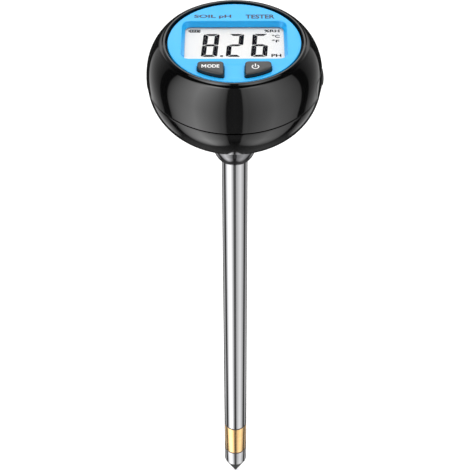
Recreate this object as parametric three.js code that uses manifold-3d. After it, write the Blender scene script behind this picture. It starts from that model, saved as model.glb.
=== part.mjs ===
// Hand-held soil pH meter: a round two-part head with a blue display face, on a long steel probe.
// Millimetres, +Z up along the probe. The origin is the point of the probe, and -Y is the front.
import * as THREE from "three";
import { mergeVertices } from "three/addons/utils/BufferGeometryUtils.js";
import Module from "manifold-3d";

// ---- Driving dimensions -------------------------------------------------------------------

// Probe, from the point upwards.
const PROBE_LENGTH = 196.8; // point to the underside of the collar
const TUBE_RADIUS = 5;
const TUBE_WALL = 0.6;
const CONE_LENGTH = 10;
const POINT_RADIUS = 0.35; // blunted end of the cone
const TIP_LENGTH = 18.2;
const INSULATOR_THICKNESS = 0.7;
const BAND_LENGTH = 16.8;
const CORE_RADIUS = 3.2;
const CORE_BORE = 1.5;
const CORE_LENGTH = 47;
const LEAD_RADIUS = 1.1;
const SEAL_SECTION = 0.7; // radius of the O-ring's section
const WASHER_THICKNESS = 0.8;
const NUT_HEIGHT = 4;

// Collar and neck, between the probe and the head.
const COLLAR_HEIGHT = 8.7;
const COLLAR_WALL = 3.45; // beyond the tube, at the collar's top
const COLLAR_FOOT = 0.8; // beyond the tube, at the collar's underside
const COLLAR_TAPER = 5.8; // height of the rounded taper down to the foot
const COLLAR_FULLNESS = 1.45; // 1 is a straight taper and 2 is a quarter ellipse
const NECK_HEIGHT = 4.9;
const NECK_WALL = 4.1; // beyond the tube
const NECK_EDGE = 0.7;

// Head: a bowl below the seam and a dome above it.
const HEAD_RADIUS = 32.2;
const BOWL_STEP = 0.3; // the bowl is set in from the dome by this at the seam
const BOWL_DEPTH = 23.3;
const BOWL_FULLNESS = 2.17; // exponent of the superellipse
const DOME_RISE = 16.8; // seam to the top of the rim
const DOME_FULLNESS = 2.56;
const SHELL_WALL = 2.2;
const TONGUE_HEIGHT = 1.4;
const TONGUE_WIDTH = 0.95;

// Display face.
const FACE_RADIUS = 24;
const FACE_THICKNESS = 2;
const FACE_DROP = 0.5; // below the rim's top
const FACE_GAP = 0.85; // open groove around the face
const RIM_WIDTH = 1.35;
const LEDGE_WIDTH = 1.1; // under the edge of the face
const LEDGE_THICKNESS = 1.4;
const GASKET_THICKNESS = 0.6;

// Display window and what lies under it.
const WINDOW_HALF_WIDTH = 19;
const WINDOW_FRONT = -10.1;
const WINDOW_BACK = 12.9;
const WINDOW_CORNER = 3;
const WINDOW_DEPTH = 2;
const WINDOW_SIDE_DRAFT = 1.1; // how far each side wall leans in over its depth
const WINDOW_END_DRAFT = 1; // the same for the front and rear walls
const LENS_THICKNESS = 0.6;
const LENS_OVERLAP = 0.8; // of the lens under the face
const FRAME_WALL = 1.1; // around the lens, and of the display holder
const CELL_THICKNESS = 2.1;
const LIGHT_THICKNESS = 2.1;
const STRIP_WIDTH = 1.4;

// Keys and their switches.
const KEY_INNER = 3.75; // from the centre line to a key's near side
const KEY_OUTER = 13;
const KEY_BACK = -13.7;
const KEY_ARC = 21.9; // the front edge follows the face's outline
const KEY_CORNER = 1.3;
const KEY_RISE = 1.7; // above the face
const KEY_EDGE = 0.5; // chamfer of the key's top
const KEY_FLANGE = 0.6;
const KEY_FLANGE_THICKNESS = 0.9;
const KEY_TRAVEL = 0.5;
const SWITCH_SIZE = 6;
const SWITCH_HEIGHT = 3.5;
const PLUNGER_RADIUS = 1.6;

// Circuit board and the frame that carries it.
const BOARD_RADIUS = 23.4;
const BOARD_THICKNESS = 1.6;
const BOARD_SCREW_CIRCLE = 21;
const BOARD_SCREW_ANGLES = [55, 125, 270];
const PLATE_THICKNESS = 2; // inner frame
const PLATE_HOLE = 11;
const PLATE_SCREW_ANGLES = [75, 180, 285];
const BOSS_RADIUS = 2.3;
const STANDOFF_RADIUS = 2.2;
const SHELL_SCREW_CIRCLE = 14;
const SHELL_SCREW_ANGLES = [90, 210, 330];
const POST_RADIUS = 2.8;
const POST_JOINT = 11.5; // seam to where the bowl's posts meet the frame's

// Screws.
const SCREW_RADIUS = 1;
const SCREW_HEAD_RADIUS = 1.7;
const SCREW_HEAD_HEIGHT = 1.2;
const COUNTERBORE_DEPTH = 5;

// Battery drawer, in the right-hand side of the dome.
const CELL_DIAMETER = 20;
const CELL_HEIGHT = 3.2;
const TRAY_WALL = 2.3; // beside the cell
const TRAY_FLOOR = 0.8;
const DRAWER_HALF_WIDTH = 13.3;
const DRAWER_HEIGHT = 6.6; // seam to the top of the cut-out
const DRAWER_CHAMFER = 1.5; // of the cut-out's upper corners
const RIDGE_HALF_WIDTH = 5;
const RIDGE_HEIGHT = 1.9;
const RIDGE_PROUD = 0.45;
const BAY_WALL = 0.9;
const CONTACT_THICKNESS = 0.3;

// Clearances.
const GAP = 0.2; // between pieces that slide or drop into each other
const SHUT_GAP = 0.15; // around the drawer's front
const TOUCH_GAP = 0.1; // between stacked pieces
const PILOT_GAP = 0.1; // around a screw's thread

// Facets around a full turn.
const FINE = 48;
const MEDIUM = 28;
const COARSE = 12;

// ---- Heights that follow from them ---------------------------------------------------------

const Z = {};
Z.lowerInsulator = TIP_LENGTH;
Z.band = Z.lowerInsulator + INSULATOR_THICKNESS;
Z.upperInsulator = Z.band + BAND_LENGTH;
Z.tube = Z.upperInsulator + INSULATOR_THICKNESS;
Z.collar = PROBE_LENGTH;
Z.neck = Z.collar + COLLAR_HEIGHT;
Z.bowl = Z.neck + NECK_HEIGHT;
Z.seam = Z.bowl + BOWL_DEPTH;
Z.rim = Z.seam + DOME_RISE;
Z.face = Z.rim - FACE_DROP;
Z.faceUnder = Z.face - FACE_THICKNESS;
Z.ledge = Z.faceUnder - GASKET_THICKNESS;
Z.lensTop = Z.face - WINDOW_DEPTH;
Z.lensUnder = Z.lensTop - LENS_THICKNESS;
Z.lcdTop = Z.lensUnder - TOUCH_GAP;
Z.lcdUnder = Z.lcdTop - CELL_THICKNESS;
Z.boardTop = Z.lcdUnder - LIGHT_THICKNESS - 2 * TOUCH_GAP;
Z.boardUnder = Z.boardTop - BOARD_THICKNESS;
Z.plateTop = Z.seam - GAP;
Z.plateUnder = Z.plateTop - PLATE_THICKNESS;
Z.postJoint = Z.seam - POST_JOINT;
Z.trayFloor = Z.plateTop + BAY_WALL + GAP;
Z.cell = Z.trayFloor + TRAY_FLOOR;
Z.trayTop = Z.cell + CELL_HEIGHT + TOUCH_GAP;
Z.bayCeiling = Z.trayTop + 2 * GAP + CONTACT_THICKNESS;
Z.nutSeat = Z.bowl + SHELL_WALL;

const neckRadius = TUBE_RADIUS + NECK_WALL;
const bowlRadius = HEAD_RADIUS - BOWL_STEP;
const holeRadius = FACE_RADIUS + FACE_GAP;
const rimRadius = holeRadius + RIM_WIDTH;
const ledgeRadius = FACE_RADIUS - LEDGE_WIDTH;

// ---- Helpers -------------------------------------------------------------------------------

const wasm = await Module();
wasm.setup();

// A closed geometry as a solid that can be cut and joined.
function solid(geometry) {
  const plain = (geometry.index ? geometry.toNonIndexed() : geometry).clone();
  plain.deleteAttribute("normal");
  plain.deleteAttribute("uv");
  const merged = mergeVertices(plain, 1e-4);
  return new wasm.Manifold(
    new wasm.Mesh({
      numProp: 3,
      vertProperties: merged.getAttribute("position").array,
      triVerts: new Uint32Array(merged.index.array),
    }),
  );
}

// A solid as a geometry that a mesh can show.
function geometryOf(manifold) {
  const mesh = manifold.getMesh();
  const positions = new Float32Array(mesh.numVert * 3);
  for (let i = 0; i < mesh.numVert; i++)
    positions.set(mesh.vertProperties.subarray(i * mesh.numProp, i * mesh.numProp + 3), i * 3);
  return new THREE.BufferGeometry()
    .setAttribute("position", new THREE.BufferAttribute(positions, 3))
    .setIndex(new THREE.BufferAttribute(mesh.triVerts, 1));
}

// A profile of [radius, height] points turned about Z. It starts and ends on the axis, or closes.
function turned(profile, segments, closed = false) {
  const points = profile.map(([r, z]) => new THREE.Vector2(r, z));
  if (closed) points.push(points[0].clone());
  return new THREE.LatheGeometry(points, segments).rotateX(Math.PI / 2);
}

// A solid of revolution whose profile doesn't touch the axis.
const ring = (profile, segments) => solid(turned(profile, segments, true));

// A ring with square edges between two radii and two heights.
const washer = (inner, outer, low, high, segments) =>
  ring([[inner, low], [outer, low], [outer, high], [inner, high]], segments);

// A round bar between two heights, with its axis at x, y.
const bar = (radius, low, high, x = 0, y = 0, segments = COARSE) =>
  solid(turned([[0, low], [radius, low], [radius, high], [0, high]], segments).translate(x, y, 0));

// A box between two corners.
function block(x0, y0, z0, x1, y1, z1) {
  const size = [x1 - x0, y1 - y0, z1 - z0];
  return solid(
    new THREE.BoxGeometry(...size).translate((x0 + x1) / 2, (y0 + y1) / 2, (z0 + z1) / 2),
  );
}

// A flat outline raised from one height to another.
const plate = (outline, low, high, curveSegments = 2) =>
  solid(
    new THREE.ExtrudeGeometry(outline, { depth: high - low, bevelEnabled: false, curveSegments })
      .translate(0, 0, low),
  );

// A rectangle with round corners.
function roundedRectangle(x0, y0, x1, y1, radius) {
  const shape = new THREE.Shape();
  shape.absarc(x1 - radius, y0 + radius, radius, -Math.PI / 2, 0);
  shape.absarc(x1 - radius, y1 - radius, radius, 0, Math.PI / 2);
  shape.absarc(x0 + radius, y1 - radius, radius, Math.PI / 2, Math.PI);
  shape.absarc(x0 + radius, y0 + radius, radius, Math.PI, 1.5 * Math.PI);
  shape.closePath();
  return shape;
}

// Points of a quarter round, from one angle to another.
function arc(x, y, radius, from, to, steps) {
  return Array.from({ length: steps + 1 }, (_, i) => {
    const angle = THREE.MathUtils.degToRad(from + ((to - from) * i) / steps);
    return [x + radius * Math.cos(angle), y + radius * Math.sin(angle)];
  });
}

// The place at an angle, in degrees, on a circle about the axis.
function onCircle(radius, degrees) {
  const angle = THREE.MathUtils.degToRad(degrees);
  return [radius * Math.cos(angle), radius * Math.sin(angle)];
}

const joined = (solids) => solids.reduce((all, next) => all.add(next));
const withoutAll = (body, cutters) => cutters.reduce((left, cutter) => left.subtract(cutter), body);

const materials = {};
function material(name, color, roughness, metalness = 0) {
  materials[name] = new THREE.MeshStandardMaterial({ name, color, roughness, metalness });
}
material("shell_black", 0x0b0b0c, 0.16);
material("face_blue", 0x35b4f2, 0.42);
material("key_black", 0x17181a, 0.38);
material("rubber_black", 0x101112, 0.75);
material("steel", 0xc9cbcd, 0.12, 1);
material("dark_chrome", 0x5b5d60, 0.14, 1);
material("electrode_gold", 0xe8b85a, 0.16, 1);
material("insulator", 0x1a1613, 0.5);
material("lens_clear", 0xf4f7f8, 0.03);
material("lcd_glass", 0xeceeec, 0.35);
material("white_plastic", 0xf2f2ee, 0.5);
material("board_green", 0x1f5a38, 0.5);
material("chip_black", 0x141414, 0.55);
material("grey_plastic", 0x3a3c3f, 0.55);
material("screw_zinc", 0xb9bcc0, 0.3, 1);
material("contact_nickel", 0xcfc9bb, 0.25, 1);
material("lead_grey", 0x6c6f72, 0.6);

const meter = new THREE.Group();
function add(name, shape, slot) {
  const geometry = shape.isBufferGeometry ? shape : geometryOf(shape);
  const mesh = new THREE.Mesh(geometry, materials[slot]);
  mesh.name = name;
  meter.add(mesh);
}

// ---- Head profile --------------------------------------------------------------------------

// The dome's superellipse passes through the seam at the head's radius and through the rim.
const domeHalfHeight =
  DOME_RISE / (1 - (rimRadius / HEAD_RADIUS) ** DOME_FULLNESS) ** (1 / DOME_FULLNESS);
const domeRadius = (z, inset = 0) =>
  HEAD_RADIUS * (1 - (Math.max(z - Z.seam, 0) / domeHalfHeight) ** DOME_FULLNESS) **
    (1 / DOME_FULLNESS) - inset;
const bowlHeight = (r, depth = BOWL_DEPTH, radius = bowlRadius) =>
  Z.seam - depth * (1 - (r / radius) ** BOWL_FULLNESS) ** (1 / BOWL_FULLNESS);

// Points on the dome between two heights, set in by a wall.
function domePoints(low, high, inset, steps) {
  return Array.from({ length: steps + 1 }, (_, i) => {
    const z = low + ((high - low) * i) / steps;
    return [domeRadius(z, inset), z];
  });
}

// Points on the bowl between two radii, crowded towards the steep outer part.
function bowlPoints(inner, outer, depth, radius, steps) {
  return Array.from({ length: steps + 1 }, (_, i) => {
    const turn = (Math.PI / 2) * (i / steps);
    const r = inner + (outer - inner) * Math.sin(turn);
    return [r, i === steps ? Z.seam : bowlHeight(r, depth, radius)];
  });
}

// The room that the display needs through the ledge.
const displayRoom = (spread) =>
  plate(
    roundedRectangle(
      -frameHalfWidth - spread, frameFront - spread, frameHalfWidth + spread, frameBack + spread,
      WINDOW_CORNER + spread,
    ),
    Z.boardTop,
    Z.faceUnder,
  );
const floorHalfWidth = WINDOW_HALF_WIDTH - WINDOW_SIDE_DRAFT;
const floorFront = WINDOW_FRONT + WINDOW_END_DRAFT;
const floorBack = WINDOW_BACK - WINDOW_END_DRAFT;
const lensHalfWidth = floorHalfWidth + LENS_OVERLAP;
const lensFront = floorFront - LENS_OVERLAP;
const lensBack = floorBack + LENS_OVERLAP;
const frameHalfWidth = lensHalfWidth + TOUCH_GAP + FRAME_WALL;
const frameFront = lensFront - TOUCH_GAP - FRAME_WALL;
const frameBack = lensBack + TOUCH_GAP + FRAME_WALL;

// ---- Shells --------------------------------------------------------------------------------

const bossCircle = domeRadius(Z.seam, SHELL_WALL) - BOSS_RADIUS - 1;

// The outline of the drawer's front, set in by a gap, run out from the middle of the head.
function drawerOutline(inset, low) {
  const half = DRAWER_HALF_WIDTH - inset;
  const top = Z.seam + DRAWER_HEIGHT - inset;
  const corners = [
    [-half, low],
    [half, low],
    [half, top - DRAWER_CHAMFER],
    [half - DRAWER_CHAMFER, top],
    [DRAWER_CHAMFER - half, top],
    [-half, top - DRAWER_CHAMFER],
  ];
  const shape = new THREE.Shape(corners.map(([y, z]) => new THREE.Vector2(y, z)));
  const sideways = new THREE.Matrix4().makeBasis(
    new THREE.Vector3(0, 1, 0), new THREE.Vector3(0, 0, 1), new THREE.Vector3(1, 0, 0),
  );
  const depth = 2 * HEAD_RADIUS;
  return solid(
    new THREE.ExtrudeGeometry(shape, { depth, bevelEnabled: false }).applyMatrix4(sideways),
  );
}

function upperShell() {
  const grooveRadius = domeRadius(Z.seam, SHELL_WALL) + TONGUE_WIDTH + 2 * TOUCH_GAP;
  const grooveTop = Z.seam + TONGUE_HEIGHT + GAP;
  const ledgeUnder = Z.ledge - LEDGE_THICKNESS;
  const wall = ring(
    [
      ...domePoints(Z.seam, Z.rim, 0, 8),
      [holeRadius + 0.3, Z.rim],
      [holeRadius, Z.rim - 0.3],
      [holeRadius, Z.ledge],
      [ledgeRadius, Z.ledge],
      [ledgeRadius, ledgeUnder],
      ...domePoints(grooveTop, ledgeUnder, SHELL_WALL, 3).reverse(),
      [grooveRadius, grooveTop],
      [grooveRadius, Z.seam],
    ],
    FINE,
  );
  const bosses = PLATE_SCREW_ANGLES.map((angle) => {
    const [x, y] = onCircle(bossCircle, angle);
    return bar(BOSS_RADIUS, Z.plateTop + TOUCH_GAP, ledgeUnder + 0.5, x, y).subtract(
      bar(SCREW_RADIUS + PILOT_GAP, Z.plateTop, Z.plateTop + 8, x, y),
    );
  });
  return withoutAll(joined([wall, ...bosses]), [
    drawerOutline(0, Z.seam - TOUCH_GAP),
    displayRoom(GAP),
  ]);
}
add("upper_shell", upperShell(), "shell_black");

// The bowl's inner wall, from the neck up to the seam, and its radius at a height.
const innerRadius = bowlRadius - SHELL_WALL;
const innerWall = bowlPoints(neckRadius, innerRadius, BOWL_DEPTH - SHELL_WALL, innerRadius, 6);
function innerWallRadius(z) {
  const next = innerWall.findIndex(([, height]) => height > z);
  const [lowRadius, lowHeight] = innerWall[next - 1];
  const [highRadius, highHeight] = innerWall[next];
  return lowRadius + ((highRadius - lowRadius) * (z - lowHeight)) / (highHeight - lowHeight);
}

function lowerShell() {
  const neckTop = bowlHeight(neckRadius + 1.2);
  const wall = ring(
    [
      [TUBE_RADIUS + GAP, Z.neck],
      ...arc(neckRadius - NECK_EDGE, Z.neck + NECK_EDGE, NECK_EDGE, -90, 0, 3),
      [neckRadius, neckTop - 1.2],
      ...bowlPoints(neckRadius + 1.2, bowlRadius, BOWL_DEPTH, bowlRadius, 8),
      [innerRadius + TONGUE_WIDTH, Z.seam],
      [innerRadius + TONGUE_WIDTH, Z.seam + TONGUE_HEIGHT],
      [innerRadius, Z.seam + TONGUE_HEIGHT],
      ...innerWall.toReversed(),
      [neckRadius, Z.nutSeat],
      [TUBE_RADIUS + GAP, Z.nutSeat],
    ],
    FINE,
  );
  const posts = SHELL_SCREW_ANGLES.map((angle) => {
    const [x, y] = onCircle(SHELL_SCREW_CIRCLE, angle);
    return bar(POST_RADIUS, bowlHeight(SHELL_SCREW_CIRCLE) + 1, Z.postJoint, x, y);
  });
  const holes = SHELL_SCREW_ANGLES.flatMap((angle) => {
    const [x, y] = onCircle(SHELL_SCREW_CIRCLE, angle);
    return [
      bar(SCREW_HEAD_RADIUS + GAP, Z.neck, shellScrewSeat, x, y),
      bar(SCREW_RADIUS + PILOT_GAP, Z.neck, Z.postJoint + 1, x, y),
    ];
  });
  const sealGroove = washer(
    TUBE_RADIUS, sealRadius + SEAL_SECTION + TOUCH_GAP,
    sealHeight - SEAL_SECTION - TOUCH_GAP, sealHeight + SEAL_SECTION + TOUCH_GAP, MEDIUM,
  );
  return withoutAll(joined([wall, ...posts]), [...holes, sealGroove, drawerNotch()]);
}
const shellScrewSeat = bowlHeight(SHELL_SCREW_CIRCLE) + COUNTERBORE_DEPTH;
const sealRadius = TUBE_RADIUS + TOUCH_GAP + SEAL_SECTION;
const sealHeight = (Z.neck + Z.nutSeat) / 2;
// The tongue stops short of the drawer on both sides.
function drawerNotch() {
  const reach = DRAWER_HALF_WIDTH + GAP;
  return block(0, -reach, Z.seam, 2 * HEAD_RADIUS, reach, Z.seam + 2 * TONGUE_HEIGHT);
}
add("lower_shell", lowerShell(), "shell_black");

// ---- Display face --------------------------------------------------------------------------

// A key's outline: straight at the back and sides, with a front edge round the face's centre.
function keyOutline(side, grow) {
  const inner = KEY_INNER - grow;
  const outer = KEY_OUTER + grow;
  const back = KEY_BACK + grow;
  const front = KEY_ARC + grow;
  const frontY = (x) => -Math.sqrt(front ** 2 - x ** 2);
  const radius = KEY_CORNER + grow;
  const shape = new THREE.Shape();
  shape.moveTo(side * (inner + radius), back);
  shape.lineTo(side * (outer - radius), back);
  shape.quadraticCurveTo(side * outer, back, side * outer, back - radius);
  shape.lineTo(side * outer, frontY(outer) + radius);
  shape.quadraticCurveTo(side * outer, frontY(outer), side * (outer - radius), frontY(outer - radius));
  const steps = 3;
  for (let i = 1; i <= steps; i++) {
    const x = outer - radius + ((inner + 2 * radius - outer) * i) / steps;
    shape.lineTo(side * x, frontY(x));
  }
  shape.quadraticCurveTo(side * inner, frontY(inner), side * inner, frontY(inner) + radius);
  shape.lineTo(side * inner, back - radius);
  shape.quadraticCurveTo(side * inner, back, side * (inner + radius), back);
  return shape;
}
const keySides = { mode: -1, power: 1 };

// The window's opening, drafted from the face down to the lens.
function windowCut() {
  const steps = 2;
  const layers = Array.from({ length: steps }, (_, i) => {
    const share = (i + 0.5) / steps;
    const side = WINDOW_HALF_WIDTH - WINDOW_SIDE_DRAFT * share;
    const low = i === steps - 1 ? Z.lensUnder - 1 : Z.face - (WINDOW_DEPTH * (i + 1)) / steps;
    const high = i === 0 ? Z.face + 1 : Z.face - (WINDOW_DEPTH * i) / steps;
    return plate(
      roundedRectangle(
        -side, WINDOW_FRONT + WINDOW_END_DRAFT * share,
        side, WINDOW_BACK - WINDOW_END_DRAFT * share, WINDOW_CORNER,
      ),
      low,
      high,
    );
  });
  return joined(layers);
}

function facePlate() {
  const disc = bar(FACE_RADIUS, Z.faceUnder, Z.face, 0, 0, FINE);
  const frame = plate(
    roundedRectangle(-frameHalfWidth, frameFront, frameHalfWidth, frameBack, WINDOW_CORNER),
    Z.lensUnder,
    Z.faceUnder + 0.5,
  );
  const lensPocket = plate(
    roundedRectangle(
      -lensHalfWidth - TOUCH_GAP, lensFront - TOUCH_GAP, lensHalfWidth + TOUCH_GAP,
      lensBack + TOUCH_GAP, WINDOW_CORNER - FRAME_WALL,
    ),
    Z.lensUnder - 1,
    Z.lensTop,
  );
  const keyHoles = Object.values(keySides).map((side) =>
    plate(keyOutline(side, GAP), Z.faceUnder - 1, Z.face + 1),
  );
  return withoutAll(disc.add(frame), [windowCut(), lensPocket, ...keyHoles]);
}
add("face_plate", facePlate(), "face_blue");

const gasket = washer(ledgeRadius + TOUCH_GAP, holeRadius - TOUCH_GAP, Z.ledge, Z.faceUnder, FINE);
add("face_gasket", gasket.subtract(displayRoom(GAP)), "rubber_black");

const lensOutline = (spread, corner) =>
  roundedRectangle(
    -lensHalfWidth - spread, lensFront - spread, lensHalfWidth + spread, lensBack + spread, corner,
  );
const lensCorner = WINDOW_CORNER - FRAME_WALL;
add("display_lens", plate(lensOutline(0, lensCorner), Z.lensUnder, Z.lensTop - TOUCH_GAP), "lens_clear");
add("lcd_cell", plate(lensOutline(-GAP, 0.4), Z.lcdUnder, Z.lcdTop), "lcd_glass");

function lcdHolder() {
  const outer = plate(
    roundedRectangle(-frameHalfWidth, frameFront, frameHalfWidth, frameBack, WINDOW_CORNER),
    Z.boardTop,
    Z.lcdTop - TOUCH_GAP,
  );
  return outer.subtract(plate(lensOutline(0, 0.5), Z.boardTop - 1, Z.lcdTop + 1));
}
add("lcd_holder", lcdHolder(), "white_plastic");

// The backlight lies between the two contact strips that join the cell's edges to the board.
const stripInset = 2 * GAP;
const rearStripY = lensBack - stripInset - STRIP_WIDTH;
const frontStripY = lensFront + stripInset;
const stripHalfWidth = lensHalfWidth - 1;
const addStrip = (name, y) =>
  add(
    name,
    block(-stripHalfWidth, y, Z.boardTop, stripHalfWidth, y + STRIP_WIDTH, Z.lcdUnder - TOUCH_GAP),
    "rubber_black",
  );
addStrip("contact_strip_rear", rearStripY);
addStrip("contact_strip_front", frontStripY);
add(
  "lcd_backlight",
  block(
    -stripHalfWidth, frontStripY + STRIP_WIDTH + stripInset, Z.boardTop + TOUCH_GAP,
    stripHalfWidth, rearStripY - stripInset, Z.lcdUnder - TOUCH_GAP,
  ),
  "white_plastic",
);

// ---- Keys and switches ---------------------------------------------------------------------

const switchX = (KEY_INNER + KEY_OUTER) / 2;
const switchY = (KEY_BACK - Math.sqrt(KEY_ARC ** 2 - switchX ** 2)) / 2;
const plungerTop = Z.faceUnder - TOUCH_GAP - KEY_FLANGE_THICKNESS - 0.7;
const switchTop = Math.min(Z.boardTop + SWITCH_HEIGHT, plungerTop - KEY_TRAVEL - GAP);
const plungerDepth = 1; // of the plunger inside its switch at rest

function key(side) {
  const x = side * switchX;
  const top = Z.face + KEY_RISE;
  const under = Z.faceUnder - TOUCH_GAP;
  const flangeUnder = under - KEY_FLANGE_THICKNESS;
  return joined([
    plate(keyOutline(side, 0), under - 0.1, top - KEY_EDGE),
    plate(keyOutline(side, -KEY_EDGE / 2), top - KEY_EDGE - 0.1, top),
    plate(keyOutline(side, KEY_FLANGE), flangeUnder, under),
    bar(PLUNGER_RADIUS, plungerTop + TOUCH_GAP, flangeUnder + 0.1, x, switchY),
  ]);
}

function tactSwitch(side) {
  const x = side * switchX;
  const half = SWITCH_SIZE / 2;
  const well = bar(
    PLUNGER_RADIUS + TOUCH_GAP, switchTop - plungerDepth - KEY_TRAVEL - GAP, switchTop + 1,
    x, switchY,
  );
  return block(x - half, switchY - half, Z.boardTop, x + half, switchY + half, switchTop)
    .subtract(well);
}

for (const [name, side] of Object.entries(keySides)) {
  add(name + "_button", key(side), "key_black");
  add(name + "_switch", tactSwitch(side), "chip_black");
  add(
    name + "_plunger",
    bar(PLUNGER_RADIUS, switchTop - plungerDepth, plungerTop, side * switchX, switchY),
    "white_plastic",
  );
}

// ---- Board, inner frame and screws ---------------------------------------------------------

const screwPlaces = (circle, angles) => angles.map((angle) => onCircle(circle, angle));
const boardScrews = screwPlaces(BOARD_SCREW_CIRCLE, BOARD_SCREW_ANGLES);
const plateScrews = screwPlaces(bossCircle, PLATE_SCREW_ANGLES);
const shellScrews = screwPlaces(SHELL_SCREW_CIRCLE, SHELL_SCREW_ANGLES);

// A pan-head screw with a round driver recess. Its head sits at z, and points up or down.
function screw(x, y, z, length, headUp) {
  const recess = 0.7;
  const profile = [
    [0, -length],
    [SCREW_RADIUS, -length],
    [SCREW_RADIUS, 0],
    [SCREW_HEAD_RADIUS, 0],
    [SCREW_HEAD_RADIUS, SCREW_HEAD_HEIGHT * 0.6],
    [SCREW_HEAD_RADIUS * 0.8, SCREW_HEAD_HEIGHT],
    [SCREW_HEAD_RADIUS * 0.4, SCREW_HEAD_HEIGHT],
    [0, SCREW_HEAD_HEIGHT - recess],
  ];
  const geometry = turned(profile, COARSE);
  if (!headUp) geometry.rotateX(Math.PI);
  return solid(geometry.translate(x, y, z));
}

function board() {
  const disc = bar(BOARD_RADIUS, Z.boardUnder, Z.boardTop, 0, 0, MEDIUM);
  return withoutAll(
    disc,
    boardScrews.map(([x, y]) => bar(SCREW_RADIUS + PILOT_GAP, Z.boardUnder - 1, Z.boardTop + 1, x, y)),
  );
}
add("main_board", board(), "board_green");

const plateRadius = innerWallRadius(Z.plateUnder) - GAP;
function innerFrame() {
  const disc = washer(PLATE_HOLE, plateRadius, Z.plateUnder, Z.plateTop, MEDIUM);
  const standoffs = boardScrews.map(([x, y]) =>
    bar(STANDOFF_RADIUS, Z.plateTop - 0.5, Z.boardUnder - TOUCH_GAP, x, y),
  );
  const posts = shellScrews.map(([x, y]) =>
    bar(POST_RADIUS, Z.postJoint + TOUCH_GAP, Z.plateUnder + 0.5, x, y),
  );
  const pilots = [
    ...boardScrews.map(([x, y]) => bar(SCREW_RADIUS + PILOT_GAP, Z.plateTop, Z.boardTop, x, y)),
    ...shellScrews.map(([x, y]) =>
      bar(SCREW_RADIUS + PILOT_GAP, Z.postJoint - 1, Z.plateUnder, x, y),
    ),
    ...plateScrews.map(([x, y]) =>
      bar(SCREW_RADIUS + PILOT_GAP, Z.plateUnder - 1, Z.plateTop + 1, x, y),
    ),
  ];
  return withoutAll(joined([disc, ...standoffs, ...posts]), pilots);
}
add("inner_frame", innerFrame(), "grey_plastic");

boardScrews.forEach(([x, y], i) =>
  add("board_screw_" + (i + 1), screw(x, y, Z.boardTop + TOUCH_GAP, 6, true), "screw_zinc"),
);
plateScrews.forEach(([x, y], i) =>
  add("frame_screw_" + (i + 1), screw(x, y, Z.plateUnder - TOUCH_GAP, 8, false), "screw_zinc"),
);
const shellScrewLength = Z.postJoint - shellScrewSeat + 6;
shellScrews.forEach(([x, y], i) =>
  add(
    "shell_screw_" + (i + 1),
    screw(x, y, shellScrewSeat - TOUCH_GAP, shellScrewLength, false),
    "screw_zinc",
  ),
);

// Under the board, left of the battery bay.
const partTop = Z.boardUnder - TOUCH_GAP;
add("controller_chip", block(-17, 4, partTop - 1.4, -10, 11, partTop), "chip_black");
add("clock_crystal", block(-16, -11, partTop - 1.8, -11, -8.6, partTop), "screw_zinc");

// ---- Battery drawer ------------------------------------------------------------------------

const cellRadius = CELL_DIAMETER / 2;
const frontInner = Math.sqrt(domeRadius(Z.seam, SHELL_WALL) ** 2 - (cellRadius / 2) ** 2);
const cellX = frontInner - cellRadius - 1;
const trayHalfWidth = cellRadius + TRAY_WALL;
const trayBack = cellX - cellRadius - TRAY_WALL / 2;
const bayHalfWidth = trayHalfWidth + GAP;
const bayBack = trayBack - GAP;
const contactHalfWidth = 2;

// Everything inside the dome's outer face, set in by a wall.
function domeCore(inset) {
  const top = Z.seam + DRAWER_HEIGHT + 1;
  return solid(
    turned([[0, Z.seam], ...domePoints(Z.seam, top, inset, 3), [0, top]], 2 * FINE),
  );
}

function batteryTray() {
  const front = domeCore(0)
    .subtract(domeCore(SHELL_WALL))
    .intersect(drawerOutline(SHUT_GAP, Z.seam + SHUT_GAP));
  const tray = block(
    trayBack, -trayHalfWidth, Z.trayFloor, 2 * HEAD_RADIUS, trayHalfWidth, Z.trayTop,
  ).intersect(domeCore(SHELL_WALL / 2));
  const ridgeFoot = Z.seam + SHUT_GAP;
  const ridge = domeCore(-RIDGE_PROUD).subtract(domeCore(SHELL_WALL / 2)).intersect(
    block(
      0, -RIDGE_HALF_WIDTH, ridgeFoot,
      2 * HEAD_RADIUS, RIDGE_HALF_WIDTH, ridgeFoot + RIDGE_HEIGHT,
    ),
  );
  const pocket = bar(cellRadius + GAP, Z.cell, Z.trayTop + 1, cellX, 0, MEDIUM);
  const contactSlot = block(
    bayBack - 1, -contactHalfWidth - GAP, Z.cell, cellX, contactHalfWidth + GAP, Z.trayTop + 1,
  );
  return joined([front, tray, ridge]).subtract(pocket).subtract(contactSlot);
}
add("battery_tray", batteryTray(), "shell_black");

const cellEdge = 0.4;
add(
  "coin_cell",
  solid(
    turned(
      [
        [0, Z.cell],
        [cellRadius - 1, Z.cell],
        [cellRadius - 1, Z.cell + cellEdge],
        [cellRadius, Z.cell + cellEdge * 2],
        [cellRadius, Z.cell + CELL_HEIGHT],
        [0, Z.cell + CELL_HEIGHT],
      ],
      MEDIUM,
    ).translate(cellX, 0, 0),
  ),
  "screw_zinc",
);

function batteryBay() {
  const front = Math.sqrt((plateRadius - 0.5) ** 2 - (bayHalfWidth + BAY_WALL) ** 2);
  const outer = block(
    bayBack - BAY_WALL, -bayHalfWidth - BAY_WALL, Z.plateTop + TOUCH_GAP / 2,
    front, bayHalfWidth + BAY_WALL, Z.bayCeiling + BAY_WALL,
  );
  const inside = block(
    bayBack, -bayHalfWidth, Z.plateTop + BAY_WALL, front + 1, bayHalfWidth, Z.bayCeiling,
  );
  return outer.subtract(inside);
}
add("battery_bay", batteryBay(), "grey_plastic");

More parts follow.
